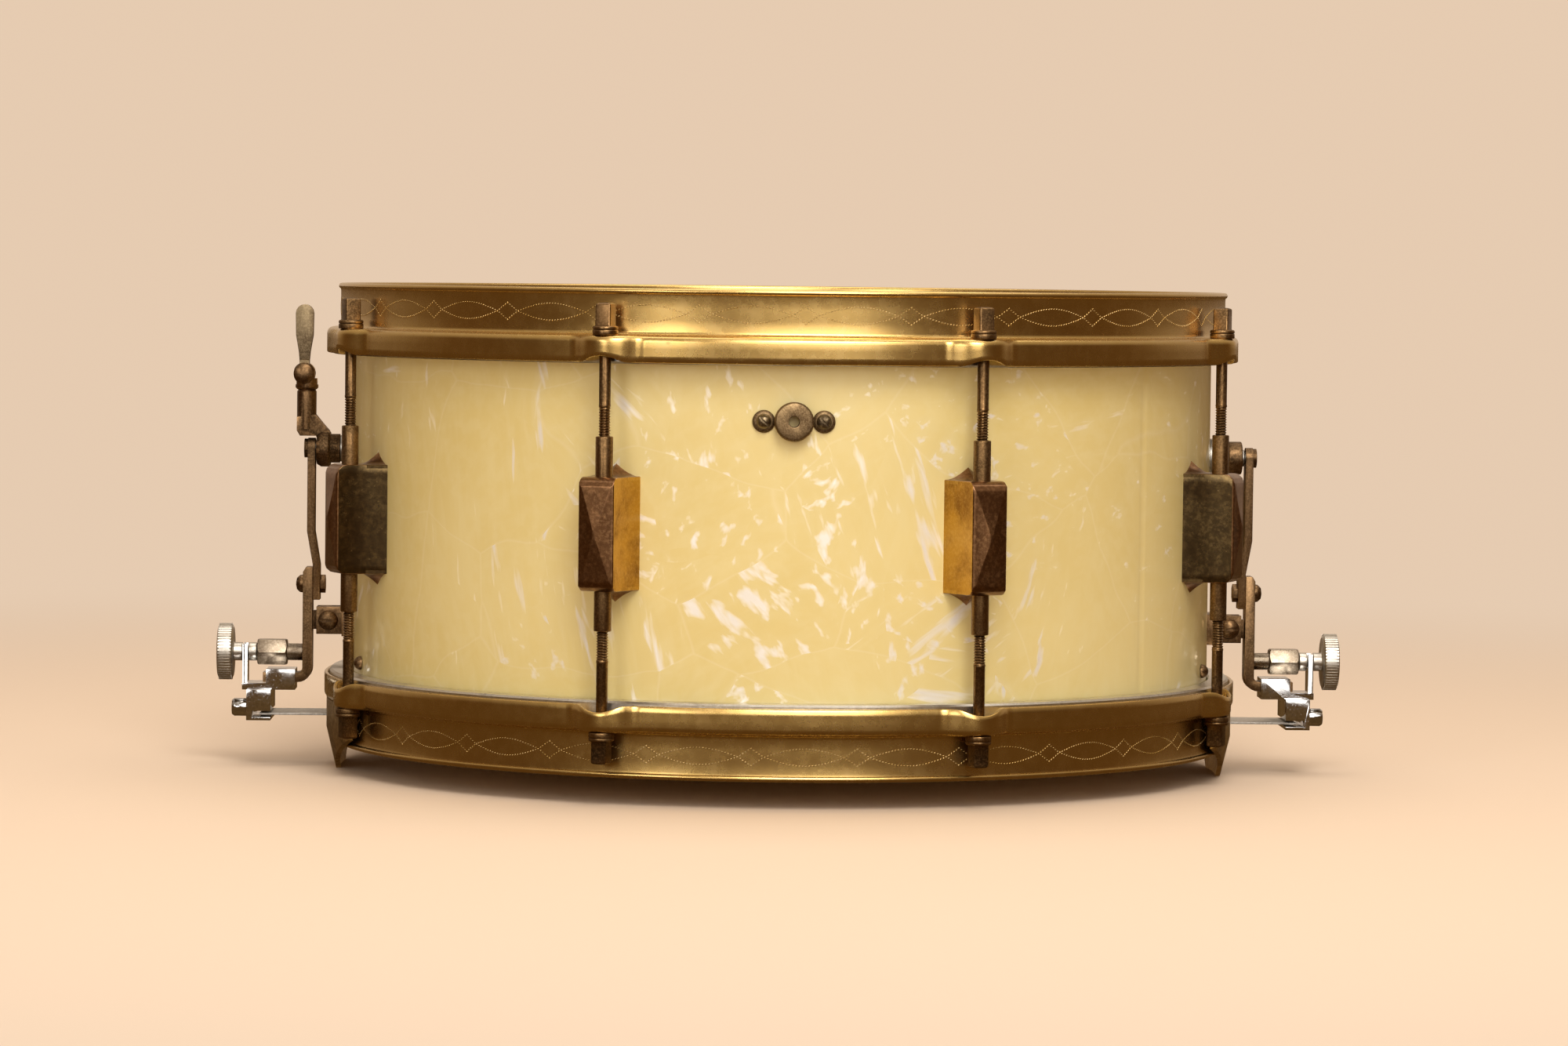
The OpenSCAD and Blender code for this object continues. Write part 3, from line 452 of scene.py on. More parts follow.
colour = mixed(aged, cloud_mask.outputs[0], given["Middle"], given["Dark"])
colour = mixed(aged, ramp(aged, specks, (0.45, 0.0), (0.75, 0.55)), colour, given["Bright"])
colour = mixed(aged, edges, colour, given["Bright"])
colour = mixed(aged, holes, colour, given["Dark"])
aged.links.new(colour, result["Color"])
matt = maths(aged, "MULTIPLY", cloud_mask.outputs[0], 0.22)
matt = maths(aged, "ADD", matt, given["Polish"])
matt = maths(aged, "ADD", matt, maths(aged, "MULTIPLY", holes, 0.25))
aged.links.new(maths(aged, "ADD", matt, maths(aged, "MULTIPLY", specks, 0.10)), result["Roughness"])
aged.links.new(maths(aged, "SUBTRACT", maths(aged, "MULTIPLY", specks, 0.25), holes), result["Height"])


def old_metal(name, bright, middle, dark, coat=0.0, **more):
    """A metal with patina, pits and rubbed edges from the aged_metal group."""
    material, tree, body = finish_for(name, metal=1.0, Coat_Weight=coat, Coat_Roughness=0.25)
    node = tree.nodes.new("ShaderNodeGroup")
    node.node_tree = aged
    for label, colour in (("Bright", bright), ("Middle", middle), ("Dark", dark)):
        node.inputs[label].default_value = (*colour, 1)
    for label, value in more.items():
        node.inputs[label].default_value = value
    tree.links.new(node.outputs["Color"], body.inputs["Base Color"])
    tree.links.new(node.outputs["Roughness"], body.inputs["Roughness"])
    bumped(tree, body, node.outputs["Height"], 0.06 * MM, 0.5)
    return material


brass = old_metal("gold_brass", (0.74, 0.52, 0.21), (0.66, 0.44, 0.14), (0.50, 0.31, 0.09),
                  Scale=7.0, Patina=0.05, Pits=0.22, Wear=0.25, Polish=0.22, coat=0.5)

hoop_low, hoop_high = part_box("batter_hoop")
Z_MID = (hoop_high.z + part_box("snare_hoop")[0].z) / 2
RIM = hoop_high.z - Z_MID
BAND_EDGE = hoop_low.z - Z_MID
LEDGE = BAND_EDGE + 10.5 * MM
WALL_R = SHELL_R + 5.5 * MM
BAND_R = SHELL_R + 11.1 * MM
SHEET = 1.5 * MM
EAR_R = 14 * MM
EAR_MIDDLE = SHELL_R + 17.7 * MM - EAR_R
SCOOP_H = 2.5 * MM
ROD_ANGLES = [math.radians(22.5 + 45 * i) for i in range(8)]
HALF_TURN = math.radians(22.5)


def arc(cx, cz, r, first, last, steps):
    """Points of an arc in a profile, angles in degrees."""
    angles = [math.radians(first + (last - first) * i / steps) for i in range(steps + 1)]
    return [(cx + r * math.cos(a), cz + r * math.sin(a)) for a in angles]


def band_radius(off):
    """Radius of the band's face at an angle off from an ear's middle, blended into the ear."""
    across = EAR_MIDDLE * abs(math.sin(off))
    ear = EAR_MIDDLE * math.cos(off)
    ear += math.sqrt(EAR_R ** 2 - across ** 2) if across < EAR_R else (EAR_R - across) * 2
    soft = 4 * MM
    h = min(1, max(0, 0.5 + 0.5 * (ear - BAND_R) / soft))
    return BAND_R + (ear - BAND_R) * h + soft * h * (1 - h)


def hoop_profile(off):
    """The sheet's outline at an angle off from an ear, as radius and height above the middle."""
    face = band_radius(off)
    reach = abs(math.sin(off)) * BAND_R / (9.5 * MM)
    edge = BAND_EDGE + SCOOP_H * max(0, 1 - reach ** 2) ** 1.5
    bend, root = 2.6 * MM, 1.6 * MM
    wall_top = RIM - 3.2 * MM
    shape = [(face - SHEET + 0.3 * MM, edge), (face - 0.4 * MM, edge), (face, edge + 0.4 * MM)]
    shape += [(face, edge + (LEDGE - bend - edge) * t) for t in (0.33, 0.66)]
    shape += arc(face - bend, LEDGE - bend, bend, 0, 90, 7)
    shape += arc(WALL_R + root, LEDGE + root, root, 270, 180, 5)
    shape += [(WALL_R, LEDGE + root + (wall_top - LEDGE - root) * t) for t in (0.33, 0.66, 1)]
    shape += arc(WALL_R - 0.3 * MM, RIM - 1.2 * MM, 1.2 * MM, -70, 180, 14)
    shape += [(WALL_R - SHEET, LEDGE + 10 * MM), (WALL_R - SHEET, LEDGE + 5 * MM)]
    shape += arc(WALL_R + root, LEDGE + root, root + SHEET, 180, 270, 6)
    shape += arc(face - bend, LEDGE - bend, bend - SHEET, 90, 0, 4)
    return shape + [(face - SHEET, edge + 0.3 * MM)]


def hoop_mesh(side):
    """One hoop: side 1 is the upper, -1 the lower."""
    steps = 32
    rings = []
    for middle in ROD_ANGLES:
        for i in range(-steps, steps):
            off = math.copysign(HALF_TURN * (abs(i) / steps) ** 1.7, i)
            rings.append([turned(r, middle + off, Z_MID + side * z) for r, z in hoop_profile(off)])
    bm = bmesh.new()
    loft(bm, rings, closed=True)
    return outwards(bm)


upper_hoop = new_piece("upper_hoop", hoop_mesh(1), "drum", "gold_brass", brass, smooth=50)
lower_hoop = new_piece("lower_hoop", hoop_mesh(-1), "drum", "gold_brass", brass, smooth=50)


def evaluated(obj):
    """An object's mesh with its modifiers applied, as a plain mesh of its own."""
    bpy.context.view_layer.update()
    graph = bpy.context.evaluated_depsgraph_get()
    return bpy.data.meshes.new_from_object(obj.evaluated_get(graph), depsgraph=graph)


# Two gates let the snares' strips out through the lower wall.
strip_low, strip_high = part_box("snare_wires")
GATE_W = strip_high.y - strip_low.y + 5 * MM
STRIP_Z = 21.5 * MM
gate_low = Vector((-0.21, -GATE_W / 2, STRIP_Z - 4.3 * MM))
gate_high = Vector((0.21, GATE_W / 2, STRIP_Z + 2.1 * MM))
bm = bmesh.new()
bmesh.ops.create_cube(bm, size=1)
for v in bm.verts:
    v.co = [gate_low[k] + (v.co[k] + 0.5) * (gate_high[k] - gate_low[k]) for k in range(3)]
gate = linked("gate", bm)
cut = lower_hoop.modifiers.new("gates", "BOOLEAN")
cut.operation, cut.object, cut.solver = "DIFFERENCE", gate, "EXACT"
lower_hoop.data = evaluated(lower_hoop)
lower_hoop.modifiers.clear()
bpy.data.objects.remove(gate)
lower_hoop.data.set_sharp_from_angle(angle=math.radians(50))
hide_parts("batter_hoop")
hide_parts("snare_hoop")

# Engraving on both hoops.
# A small wheel leaves slanting nicks along two crossing lines that make ovals and diamonds,
# fourteen times round each wall. The nicks are bright where they cut through the patina.
REPEATS = 14
NICK_Z = 0.5 * (LEDGE + RIM) - 0.6 * MM
LOBE, CROSS = 3.3 * MM, 5 * MM
SPAN = math.pi * WALL_R / REPEATS


def wave(s):
    """Height of one engraved line along a span, from a diamond's point to the next point."""
    oval = SPAN - 2 * CROSS
    if CROSS <= s <= SPAN - CROSS:
        return -LOBE * math.sin(math.pi * (s - CROSS) / oval)
    past = CROSS - s if s < CROSS else s - SPAN + CROSS
    return LOBE * past / CROSS


def engraved_lines(side, shift):
    """Both lines round a wall as a curve, side 1 on the upper hoop."""
    data = bpy.data.curves.new("nick_lines", "CURVE")
    data.dimensions = "3D"
    steps = 40
    for k in range(2 * REPEATS):
        for flip in (-1, 1):
            spline = data.splines.new("POLY")
            spline.points.add(steps)
            for i, point in enumerate(spline.points):
                s = SPAN * i / steps
                angle = shift + (k * SPAN + s) / WALL_R
                z = Z_MID + side * NICK_Z + flip * wave(s)
                point.co = (*turned(WALL_R + 0.005 * MM, angle, z), 1)
    return linked("nick_lines", data)


def geometry_tree(name, sizes):
    """An empty Geometry Nodes tree with a geometry input and named sizes."""
    tree = bpy.data.node_groups.new(name, "GeometryNodeTree")
    tree.interface.new_socket("Geometry", in_out="INPUT", socket_type="NodeSocketGeometry")
    keys = {}
    for label, value in sizes.items():
        kind = "NodeSocketInt" if isinstance(value, int) else "NodeSocketFloat"
        socket = tree.interface.new_socket(label, in_out="INPUT", socket_type=kind)
        socket.default_value = value
        keys[label] = socket.identifier
    tree.interface.new_socket("Geometry", in_out="OUTPUT", socket_type="NodeSocketGeometry")
    return tree, tree.nodes.new("NodeGroupInput").outputs, tree.nodes.new("NodeGroupOutput").inputs, keys


def step(tree, kind, inputs, output=0, **settings):
    """One node of a geometry tree; inputs are sockets or values by name or number."""
    node = tree.nodes.new(kind)
    for name, value in settings.items():
        setattr(node, name, value)
    for name, value in inputs.items():
        if isinstance(value, bpy.types.NodeSocket):
            tree.links.new(value, node.inputs[name])
        else:
            node.inputs[name].default_value = value
    return node.outputs[output]


def grown(base, tree, keys, sizes, name, body, slot, material, smooth=None):
    """Runs a tree on an object and keeps the result as a plain piece; the base is removed."""
    modifier = base.modifiers.new("grow", "NODES")
    modifier.node_group = tree
    for label, value in sizes.items():
        modifier[keys[label]] = value
    mesh = evaluated(base)
    bpy.data.objects.remove(base)
    return new_piece(name, mesh, body, slot, material, smooth=smooth)


cut_brass, tree, body = finish_for("cut_brass", (0.98, 0.84, 0.56), 0.42, 1.0)
tree.links.new(ramp(tree, noise(tree, stretched(tree, (1, 1, 1)), 60, 3), (0.35, (0.55, 0.37, 0.13)),
                    (0.6, (0.86, 0.66, 0.34))), body.inputs["Base Color"])

nicks, given, result, nick_keys = geometry_tree(
    "engraved_nicks", {"Pitch": 1.25 * MM, "Length": 1.15 * MM, "Width": 0.42 * MM, "Depth": 0.3 * MM,
                       "Slant": 0.5})
walk = nicks.nodes.new("GeometryNodeCurveToPoints")
walk.mode = "LENGTH"
nicks.links.new(given["Geometry"], walk.inputs["Curve"])
nicks.links.new(given["Pitch"], walk.inputs["Length"])
along = step(nicks, "FunctionNodeAlignRotationToVector",
             {"Vector": walk.outputs["Tangent"]}, axis="X")
outside = step(nicks, "ShaderNodeVectorMath", {0: step(nicks, "GeometryNodeInputPosition", {}),
                                               1: (1, 1, 0)}, operation="MULTIPLY")
upright = step(nicks, "FunctionNodeAlignRotationToVector",
               {"Rotation": along, "Vector": outside}, axis="Z", pivot_axis="X")
slant = step(nicks, "ShaderNodeCombineXYZ", {"Z": given["Slant"]})
turned_nick = step(nicks, "FunctionNodeRotateRotation",
                   {"Rotation": upright, "Rotate By": slant}, rotation_space="LOCAL")
chip = step(nicks, "GeometryNodeMeshUVSphere", {"Segments": 6, "Rings": 3, "Radius": 0.5})
chip_size = step(nicks, "ShaderNodeCombineXYZ", {"X": given["Length"], "Y": given["Width"],
                                                 "Z": given["Depth"]})
chip = step(nicks, "GeometryNodeTransform", {"Geometry": chip, "Scale": chip_size})
many = step(nicks, "GeometryNodeInstanceOnPoints",
            {"Points": walk.outputs["Points"], "Instance": chip, "Rotation": turned_nick})
solid = step(nicks, "GeometryNodeRealizeInstances", {"Geometry": many})
nicks.links.new(step(nicks, "GeometryNodeSetMaterial", {"Geometry": solid, "Material": cut_brass}),
                result["Geometry"])
for side, word, shift in ((1, "upper", math.radians(-11.6)), (-1, "lower", math.radians(8.1))):
    grown(engraved_lines(side, shift), nicks, nick_keys, {}, word + "_engraving", "drum",
          "gold_brass", cut_brass)

# Flesh hoops and drumheads.
# Steel rings with the skins tucked round them; the ledges of the counter hoops pull them down
# over the bearing edges. The batter head is coated cream, the snare head thin and clear.
ring_steel = old_metal("ring_steel", (0.86, 0.84, 0.79), (0.66, 0.63, 0.57), (0.30, 0.26, 0.20),
                       Scale=30.0, Patina=0.35, Pits=0.5, Wear=0.4, Polish=0.24)
for name in ("batter_flesh_hoop", "snare_flesh_hoop"):
    dress(frame["nodes"][name], ring_steel)

coated, tree, body = finish_for("coated_head", roughness=0.62)
wear_marks = noise(tree, stretched(tree, (1, 1, 1)), 11, 6, 0.7)
tree.links.new(ramp(tree, wear_marks, (0.35, (0.66, 0.58, 0.44)), (0.55, (0.80, 0.75, 0.64))),
               body.inputs["Base Color"])
bumped(tree, body, noise(tree, stretched(tree, (1, 1, 1)), 1400, 2), 0.00005, 0.6)
dress(frame["nodes"]["batter_head"], coated)

film, tree, body = finish_for("snare_film", roughness=0.3, Coat_Weight=0.2)
tree.links.new(ramp(tree, noise(tree, stretched(tree, (1, 1, 1)), 8, 5, 0.6),
                    (0.3, (0.60, 0.52, 0.38)), (0.7, (0.74, 0.68, 0.55))), body.inputs["Base Color"])
dress(frame["nodes"]["snare_head"], film)

# Lugs.
# Eight hollow brass castings, plated dark bronze: a box with a raised four-sided front like a
# shallow pyramid, flared sides and a pointed wing above and below. Two screws hold each.
lug_metal = old_metal("lug_bronze", (0.50, 0.27, 0.12), (0.21, 0.10, 0.04), (0.09, 0.04, 0.016),
                      Scale=30.0, Patina=0.4, Pits=0.4, Wear=0.5, Polish=0.24, coat=0.3)
# The lugs' sides have two copies of one finish, chosen by where the lug stands: the bright orange on the
# front and back lugs is painted light, and the dark brown on the lugs at left and right is painted
# shade.
lit_flank_metal = old_metal("lug_flank_painted_light", (0.76, 0.50, 0.13), (0.60, 0.34, 0.06), (0.32, 0.15, 0.025),
                        Scale=40.0, Patina=0.45, Pits=0.4, Wear=0.5, Polish=0.3)
shaded_side_metal = old_metal("lug_side_painted_shade", (0.30, 0.20, 0.08), (0.105, 0.068, 0.025), (0.045, 0.028, 0.011),
                       Scale=22.0, Patina=0.4, Pits=0.3, Wear=0.4, Polish=0.17, coat=0.25)
LUG_H, LUG_DEPTH = 44 * MM, 20.2 * MM
LUG_FRONT, LUG_BASE = 14.6 * MM, 20 * MM
WING_H, WING_OUT = 5 * MM, 8 * MM
PEAK = 1.9 * MM
LUG_LIP = 0.1 * MM


def oblong(half_w, half_h, corner):
    """Points round a rectangle with rounded corners, from its lower left corner."""
    points = []
    counts = (6, 14, 6, 14)
    corners = ((-1, -1), (1, -1), (1, 1), (-1, 1))
    centres = [(x * (half_w - corner), y * (half_h - corner)) for x, y in corners]
    for k, (cx, cy) in enumerate(centres):
        turn = 180 + 90 * k
        points += arc(cx, cy, corner, turn, turn + 90, 3)
        nx, ny = centres[(k + 1) % 4]
        out = math.radians(turn + 90)
        for i in range(1, counts[k]):
            t = i / counts[k]
            points.append((cx + (nx - cx) * t + corner * math.cos(out),
                           cy + (ny - cy) * t + corner * math.sin(out)))
    return points


def flare(share):
    """Half of a lug's width at a share of its depth from the shell."""
    return LUG_FRONT / 2 + (LUG_BASE - LUG_FRONT) / 2 * (1 - share) ** 2.4


def lug_rings():
    """Rings of one lug as (across, height, depth), from the shell to the front's peak."""
    rings = []
    tip_round = 4.0 * MM
    for i in range(13):
        t = i / 12
        depth = (LUG_DEPTH - 0.7 * MM) * t
        half_w = flare(t)
        past = max(0, depth - (LUG_DEPTH - tip_round))
        half_h = LUG_H / 2 - tip_round + math.sqrt(tip_round ** 2 - min(past, tip_round * 0.98) ** 2)
        rings.append([(x, z, depth) for x, z in oblong(half_w, half_h, 0.5 * MM)])
    half_w, half_h = LUG_FRONT / 2, half_h - 0.9 * MM
    for inset, depth in ((0.25, LUG_DEPTH - 0.25 * MM), (0.7, LUG_DEPTH),
                         (1.3, LUG_DEPTH + LUG_LIP)):
        rings.append([(x, z, depth) for x, z in
                      oblong(half_w - inset * MM, half_h - inset * MM, 0.3 * MM)])
    start_w, start_h = half_w - 1.3 * MM, half_h - 1.3 * MM
    for i in range(1, 8):
        t = i / 8
        rise = (PEAK - LUG_LIP) * (0.62 * t + 0.38 * t ** 2.2)
        rings.append([(x, z, LUG_DEPTH + LUG_LIP + rise) for x, z in
                      oblong(start_w * (1 - t), start_h * (1 - t), 0.3 * MM * (1 - t))])
    return rings


def add_lug(bm, angle):
    """One lug at an angle, standing on the shell."""
    across, out = Vector((math.cos(angle), math.sin(angle), 0)), Vector(turned(1, angle, 0))

    def place(x, z, depth):
        seat = math.sqrt(SHELL_R ** 2 - x ** 2) - 0.05 * MM
        rise = min(1, depth / (6 * MM))
        radius = seat * (1 - rise) + SHELL_R * rise + depth
        return out * radius + across * x + Vector((0, 0, Z_MID + z))

    made = loft(bm, [[place(*p) for p in ring] for ring in lug_rings()])
    bmesh.ops.pointmerge(bm, verts=made[-1], merge_co=place(0, 0, LUG_DEPTH + PEAK))
    for side in (-1, 1):
        top = []
        for i in range(9):
            u = WING_OUT * i / 8
            half = flare(u / LUG_DEPTH)
            row = []
            for k in range(-6, 7):
                v = half * k / 6
                rise = WING_H * (1 - abs(k) / 6) ** 1.75 * (1 - i / 8) ** 1.5
                row.append(place(v, side * (LUG_H / 2 - 0.2 * MM + rise), u))
            base = [place(half * k / 6, side * (LUG_H / 2 - 1.5 * MM), u) for k in range(6, -7, -1)]
            top.append(row + base)
        loft(bm, top)


bm = bmesh.new()
for angle in ROD_ANGLES:
    add_lug(bm, angle)
lugs = new_piece("box_lugs", outwards(bm), "drum", "lug_bronze", lug_metal, lit_flank_metal, shaded_side_metal,
                 smooth=28)
# Side faces of the front and back lugs take the painted light finish. Those of the other lugs take the
# painted shade finish.
for polygon in lugs.data.polygons:
    place = polygon.center
    out = Vector((place.x, place.y, 0)).normalized()
    if abs(polygon.normal.dot(out)) < 0.5 and abs(polygon.normal.z) < 0.5:
        polygon.material_index = 1 if abs(place.x) < 0.1 else 2
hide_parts("lugs")

# Tension rods.
# Sixteen long steel screws with square key heads. Each passes through a washer on a hoop's
# ledge and an ear, and runs into a threaded tube that stands out of a lug.
rod_metal = old_metal("rod_bronze", (0.44, 0.27, 0.12), (0.16, 0.09, 0.038), (0.06, 0.033, 0.014),
                      Scale=60.0, Patina=0.55, Pits=0.8, Wear=0.9, Polish=0.27)
ROD_R = SHELL_R + 12.2 * MM
ROD_D, PITCH, GROOVE = 4.8 * MM, 1.06 * MM, 0.58 * MM
KEY, KEY_H = 6.3 * MM, 9 * MM
SEAT = LEDGE + 2.05 * MM
THREAD_TOP = LUG_H / 2 + 15.5 * MM + 12 * MM
ROUND = 24


def circle(radius, z, count=ROUND):
    """A level ring of points round the axis."""
    return [(radius * math.cos(2 * math.pi * i / count), radius * math.sin(2 * math.pi * i / count), z)
            for i in range(count)]


def square_ring(half, corner, z):
    """A level square ring with rounded corners and as many points as circle()."""
    points = []
    for k in range(4):
        cx, cy = ((1, -1), (1, 1), (-1, 1), (-1, -1))[k]
        turn = -90 + 90 * k
        for x, y in arc(cx * (half - corner), cy * (half - corner), corner, turn, turn + 90, 5):
            points.append((x, y, z))
    return points[3:] + points[:3]


def rod_mesh(side, angle):
    """One rod: thread, plain shank, collar and domed square key head."""
    rings = []
    low = LUG_H / 2 + 9 * MM
    steps = round((THREAD_TOP - low) / PITCH * 7)
    for i in range(steps + 1):
        z = low + (THREAD_TOP - low) * i / steps
        fade = min(1, (steps - i) / 10)
        ring = []
        for k in range(ROUND):
            phase = (z / PITCH - k / ROUND) % 1
            depth = GROOVE * fade * abs(2 * phase - 1) ** 0.8
            around = 2 * math.pi * k / ROUND
            r = ROD_D / 2 - depth
            ring.append((r * math.cos(around), r * math.sin(around), z))
        rings.append(ring)
    rings += [circle(ROD_D / 2 - 0.15 * MM, THREAD_TOP + 0.3 * MM), circle(ROD_D / 2 - 0.15 * MM, SEAT)]
    rings += [circle(r * MM, SEAT + z * MM) for r, z in
              ((4.75, 0), (4.95, 0.15), (5.0, 0.45), (5.0, 0.9), (4.85, 1.2), (4.5, 1.4))]
    half = KEY / 2
    rings += [square_ring(half + 0.25 * MM, 0.9 * MM, SEAT + 1.4 * MM),
              square_ring(half, 0.7 * MM, SEAT + 1.75 * MM),
              square_ring(half, 0.7 * MM, SEAT + KEY_H + 0.4 * MM)]
    for inset, rise in ((0.12, 0.72), (0.45, 1.0), (1.1, 1.22), (2.0, 1.36)):
        rings.append(square_ring(half - inset * MM, max(0.2, 0.7 - inset * 0.3) * MM,
                                 SEAT + KEY_H + rise * MM))
    bm = bmesh.new()
    loft(bm, rings)
    middle = Vector(turned(ROD_R, angle, Z_MID))
    bm.transform(Matrix.Translation(middle) @ Matrix.Rotation(angle, 4, "Z")
                 @ Matrix.Diagonal((1, 1, side, 1)))
    return outwards(bm)


for word, side in (("batter", 1), ("snare", -1)):
    for i, angle in enumerate(ROD_ANGLES):
        name = f"{word}_rod_{i + 1}"
        rod = new_piece(f"{word}_key_rod_{i + 1}", rod_mesh(side, angle), name, "dark_bronze",
                        rod_metal, smooth=40)
        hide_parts(name)

# Washers and tubes.
# Turned brass washers under the rods' collars, and the threaded tubes that swivel in the lugs.
# Their edges are rounded over, as on every small metal piece from here on.
SHARP = 35


def softened(node, name, slot, material, edge, segments=2):
    """A CAD node's shape with its edges rounded over, as its own piece in the node's place."""
    source = frame["nodes"][node]
    bm = bmesh.new()
    bm.from_mesh(source.data)
    bmesh.ops.remove_doubles(bm, verts=bm.verts, dist=2e-6)
    bmesh.ops.dissolve_degenerate(bm, edges=bm.edges, dist=2e-6)
    bmesh.ops.dissolve_limit(bm, angle_limit=math.radians(1.0), verts=bm.verts, edges=bm.edges)
    shape = linked(name + "_raw", bm)
    bevel = shape.modifiers.new("edges", "BEVEL")
    bevel.width, bevel.segments, bevel.limit_method = edge * MM, segments, "ANGLE"
    bevel.angle_limit = math.radians(SHARP)
    mesh = evaluated(shape)
    bpy.data.objects.remove(shape)
    piece = new_piece(name, mesh, source["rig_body"], slot, material, smooth=SHARP)
    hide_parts(node)


softened("rod_washers", "collar_washers", "dark_bronze", rod_metal, 0.35, 3)
softened("lug_tubes", "swivel_tubes", "dark_bronze", rod_metal, 0.4, 3)

# Tone control at the front.
# A brass disc knob between two countersunk screws in cup washers. Its shaft turns a cam inside
# that lifts a felt pad against the batter head, on a steel arm in a bent bracket.
knob_brass = old_metal("tone_brass", (0.58, 0.42, 0.22), (0.30, 0.20, 0.10), (0.12, 0.07, 0.035),
                       Scale=70.0, Patina=0.75, Pits=0.9, Wear=0.9, Polish=0.3)
dull_steel = old_metal("dull_steel", (0.74, 0.73, 0.70), (0.45, 0.43, 0.39), (0.17, 0.14, 0.11),
                       Scale=40.0, Patina=0.5, Pits=0.6, Wear=0.6, Polish=0.32)
spoon_metal = old_metal("spoon_bronze", (0.46, 0.36, 0.22), (0.22, 0.165, 0.095), (0.09, 0.06, 0.035),
                        Scale=45.0, Patina=0.55, Pits=0.6, Wear=0.9, Polish=0.3)
knob_low, knob_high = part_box("tone_knob")
TONE_Z = (knob_low.z + knob_high.z) / 2
INNER_R = SHELL_R - 7.8 * MM
SHAFT_R, CAM_R, CAM_DROP = 3, 4.5, 1.6
DISC_R, BORE_R, BORE_DEEP = 7.65, 2.05, 7
CUP_AT = 11.6 * MM


def turned_part(bm, across, outline, closed=False):
    """A shape turned about an axis that points at the front; outline is (radius, out, drop)."""
    rings = []
    for r, out, drop in outline:
        rings.append([(across + x * MM, -out, TONE_Z - drop * MM + y * MM)
                      for x, y, _ in circle(r, 0, 56)])
    loft(bm, rings, closed)


cam = [(CAM_R, INNER_R - 5.2 * MM, CAM_DROP), (CAM_R, INNER_R - 2.6 * MM, CAM_DROP)]
shaft = [(SHAFT_R, INNER_R - 2.55 * MM, 0), (SHAFT_R, SHELL_R + 1.5 * MM, 0)]
disc = [(3.1, 1.6), (7.3, 1.6), (7.55, 1.7), (DISC_R, 1.95), (DISC_R, 4.5), (7.5, 5.1),
        (7.1, 5.55), (6.5, 5.8), (2.5, 5.8), (2.2, 5.72), (BORE_R, 5.5), (BORE_R, -BORE_DEEP),
        (0.05, -BORE_DEEP)]
bm = bmesh.new()
turned_part(bm, 0, cam + shaft + [(r, SHELL_R + out * MM, 0) for r, out in disc])
tone_disc = new_piece("tone_disc", outwards(bm), "tone_knob", "gold_brass", knob_brass, smooth=35)
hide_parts("tone_knob")
cup = [(1.55, -0.3), (4.3, -0.3), (4.4, 0), (4.4, 0.3), (4.25, 0.55), (3.3, 1.25), (3.05, 1.3),
       (1.55, 1.3)]
bm = bmesh.new()
for across in (-CUP_AT, CUP_AT):
    turned_part(bm, across, [(r, SHELL_R + out * MM, 0) for r, out in cup], closed=True)
cups = new_piece("tone_cup_washers", outwards(bm), "drum", "gold_brass", knob_brass, smooth=35)
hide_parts("tone_cups")
softened("tone_screws", "tone_slot_screws", "dark_bronze", spoon_metal, 0.1)
for node, name in (("tone_bracket", "tone_cradle"), ("tone_pin", "tone_hinge_pin"),
                   ("tone_arm", "tone_lift_arm"), ("shell_screws", "inner_screws"),
                   ("rod_bushings", "shell_bushings")):
    softened(node, name, "steel", dull_steel, 0.25)

felt, tree, body = finish_for("pressed_felt", roughness=0.95, Sheen_Weight=0.4, Sheen_Roughness=0.6)
fuzz = noise(tree, stretched(tree, (1, 1, 1)), 900, 6, 0.8)
tree.links.new(ramp(tree, fuzz, (0.3, (0.50, 0.45, 0.37)), (0.7, (0.74, 0.70, 0.61))),
               body.inputs["Base Color"])
bumped(tree, body, fuzz, 0.0004)
pad_low, pad_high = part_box("tone_felt")
pad_mid = (pad_low + pad_high) / 2
PAD_R, PAD_T = (pad_high.x - pad_low.x) / 2, pad_high.z - pad_low.z
bm = bmesh.new()
rings = []
for r, z in [(0.02, 0), (0.3, 0), (0.6, 0), (0.85, 0), (0.96, 0.06), (1, 0.25), (0.995, 0.5),
             (1, 0.75), (0.96, 0.94), (0.85, 1), (0.6, 0.985), (0.3, 0.98), (0.02, 0.98)]:
    ring = circle(PAD_R * r, pad_low.z + PAD_T * z, 64)
    rings.append([(pad_mid.x + x * (1 - 0.006 * math.sin(9 * i) ** 2),
                   pad_mid.y + y * (1 - 0.006 * math.cos(7 * i) ** 2), h)
                  for i, (x, y, h) in enumerate(ring)])
loft(bm, rings)
pad = new_piece("felt_pad", outwards(bm), "tone_arm", "felt", felt)
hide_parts("tone_felt")

# Throw lever and cross rod.
# A lever on the left turns a steel rod that runs right through the shell, so that both straps
# lift together. The lever's spoon folds down on a riveted pin.
strainer = old_metal("strainer_bronze", (0.42, 0.26, 0.13), (0.135, 0.078, 0.037), (0.05, 0.03, 0.015),
                     Scale=55.0, Patina=0.5, Pits=0.7, Wear=1.0, Polish=0.28)
softened("cross_rod", "through_rod", "steel", dull_steel, 0.35, 3)
softened("cam_collar", "cam_ring", "dark_bronze", strainer, 0.6, 3)
softened("throw_lever", "lever_body", "dark_bronze", strainer, 0.5, 3)
softened("handle_pin", "lever_rivet", "dark_bronze", strainer, 0.2)
softened("lever_handle", "lever_spoon", "dark_bronze", spoon_metal, 0.9, 4)

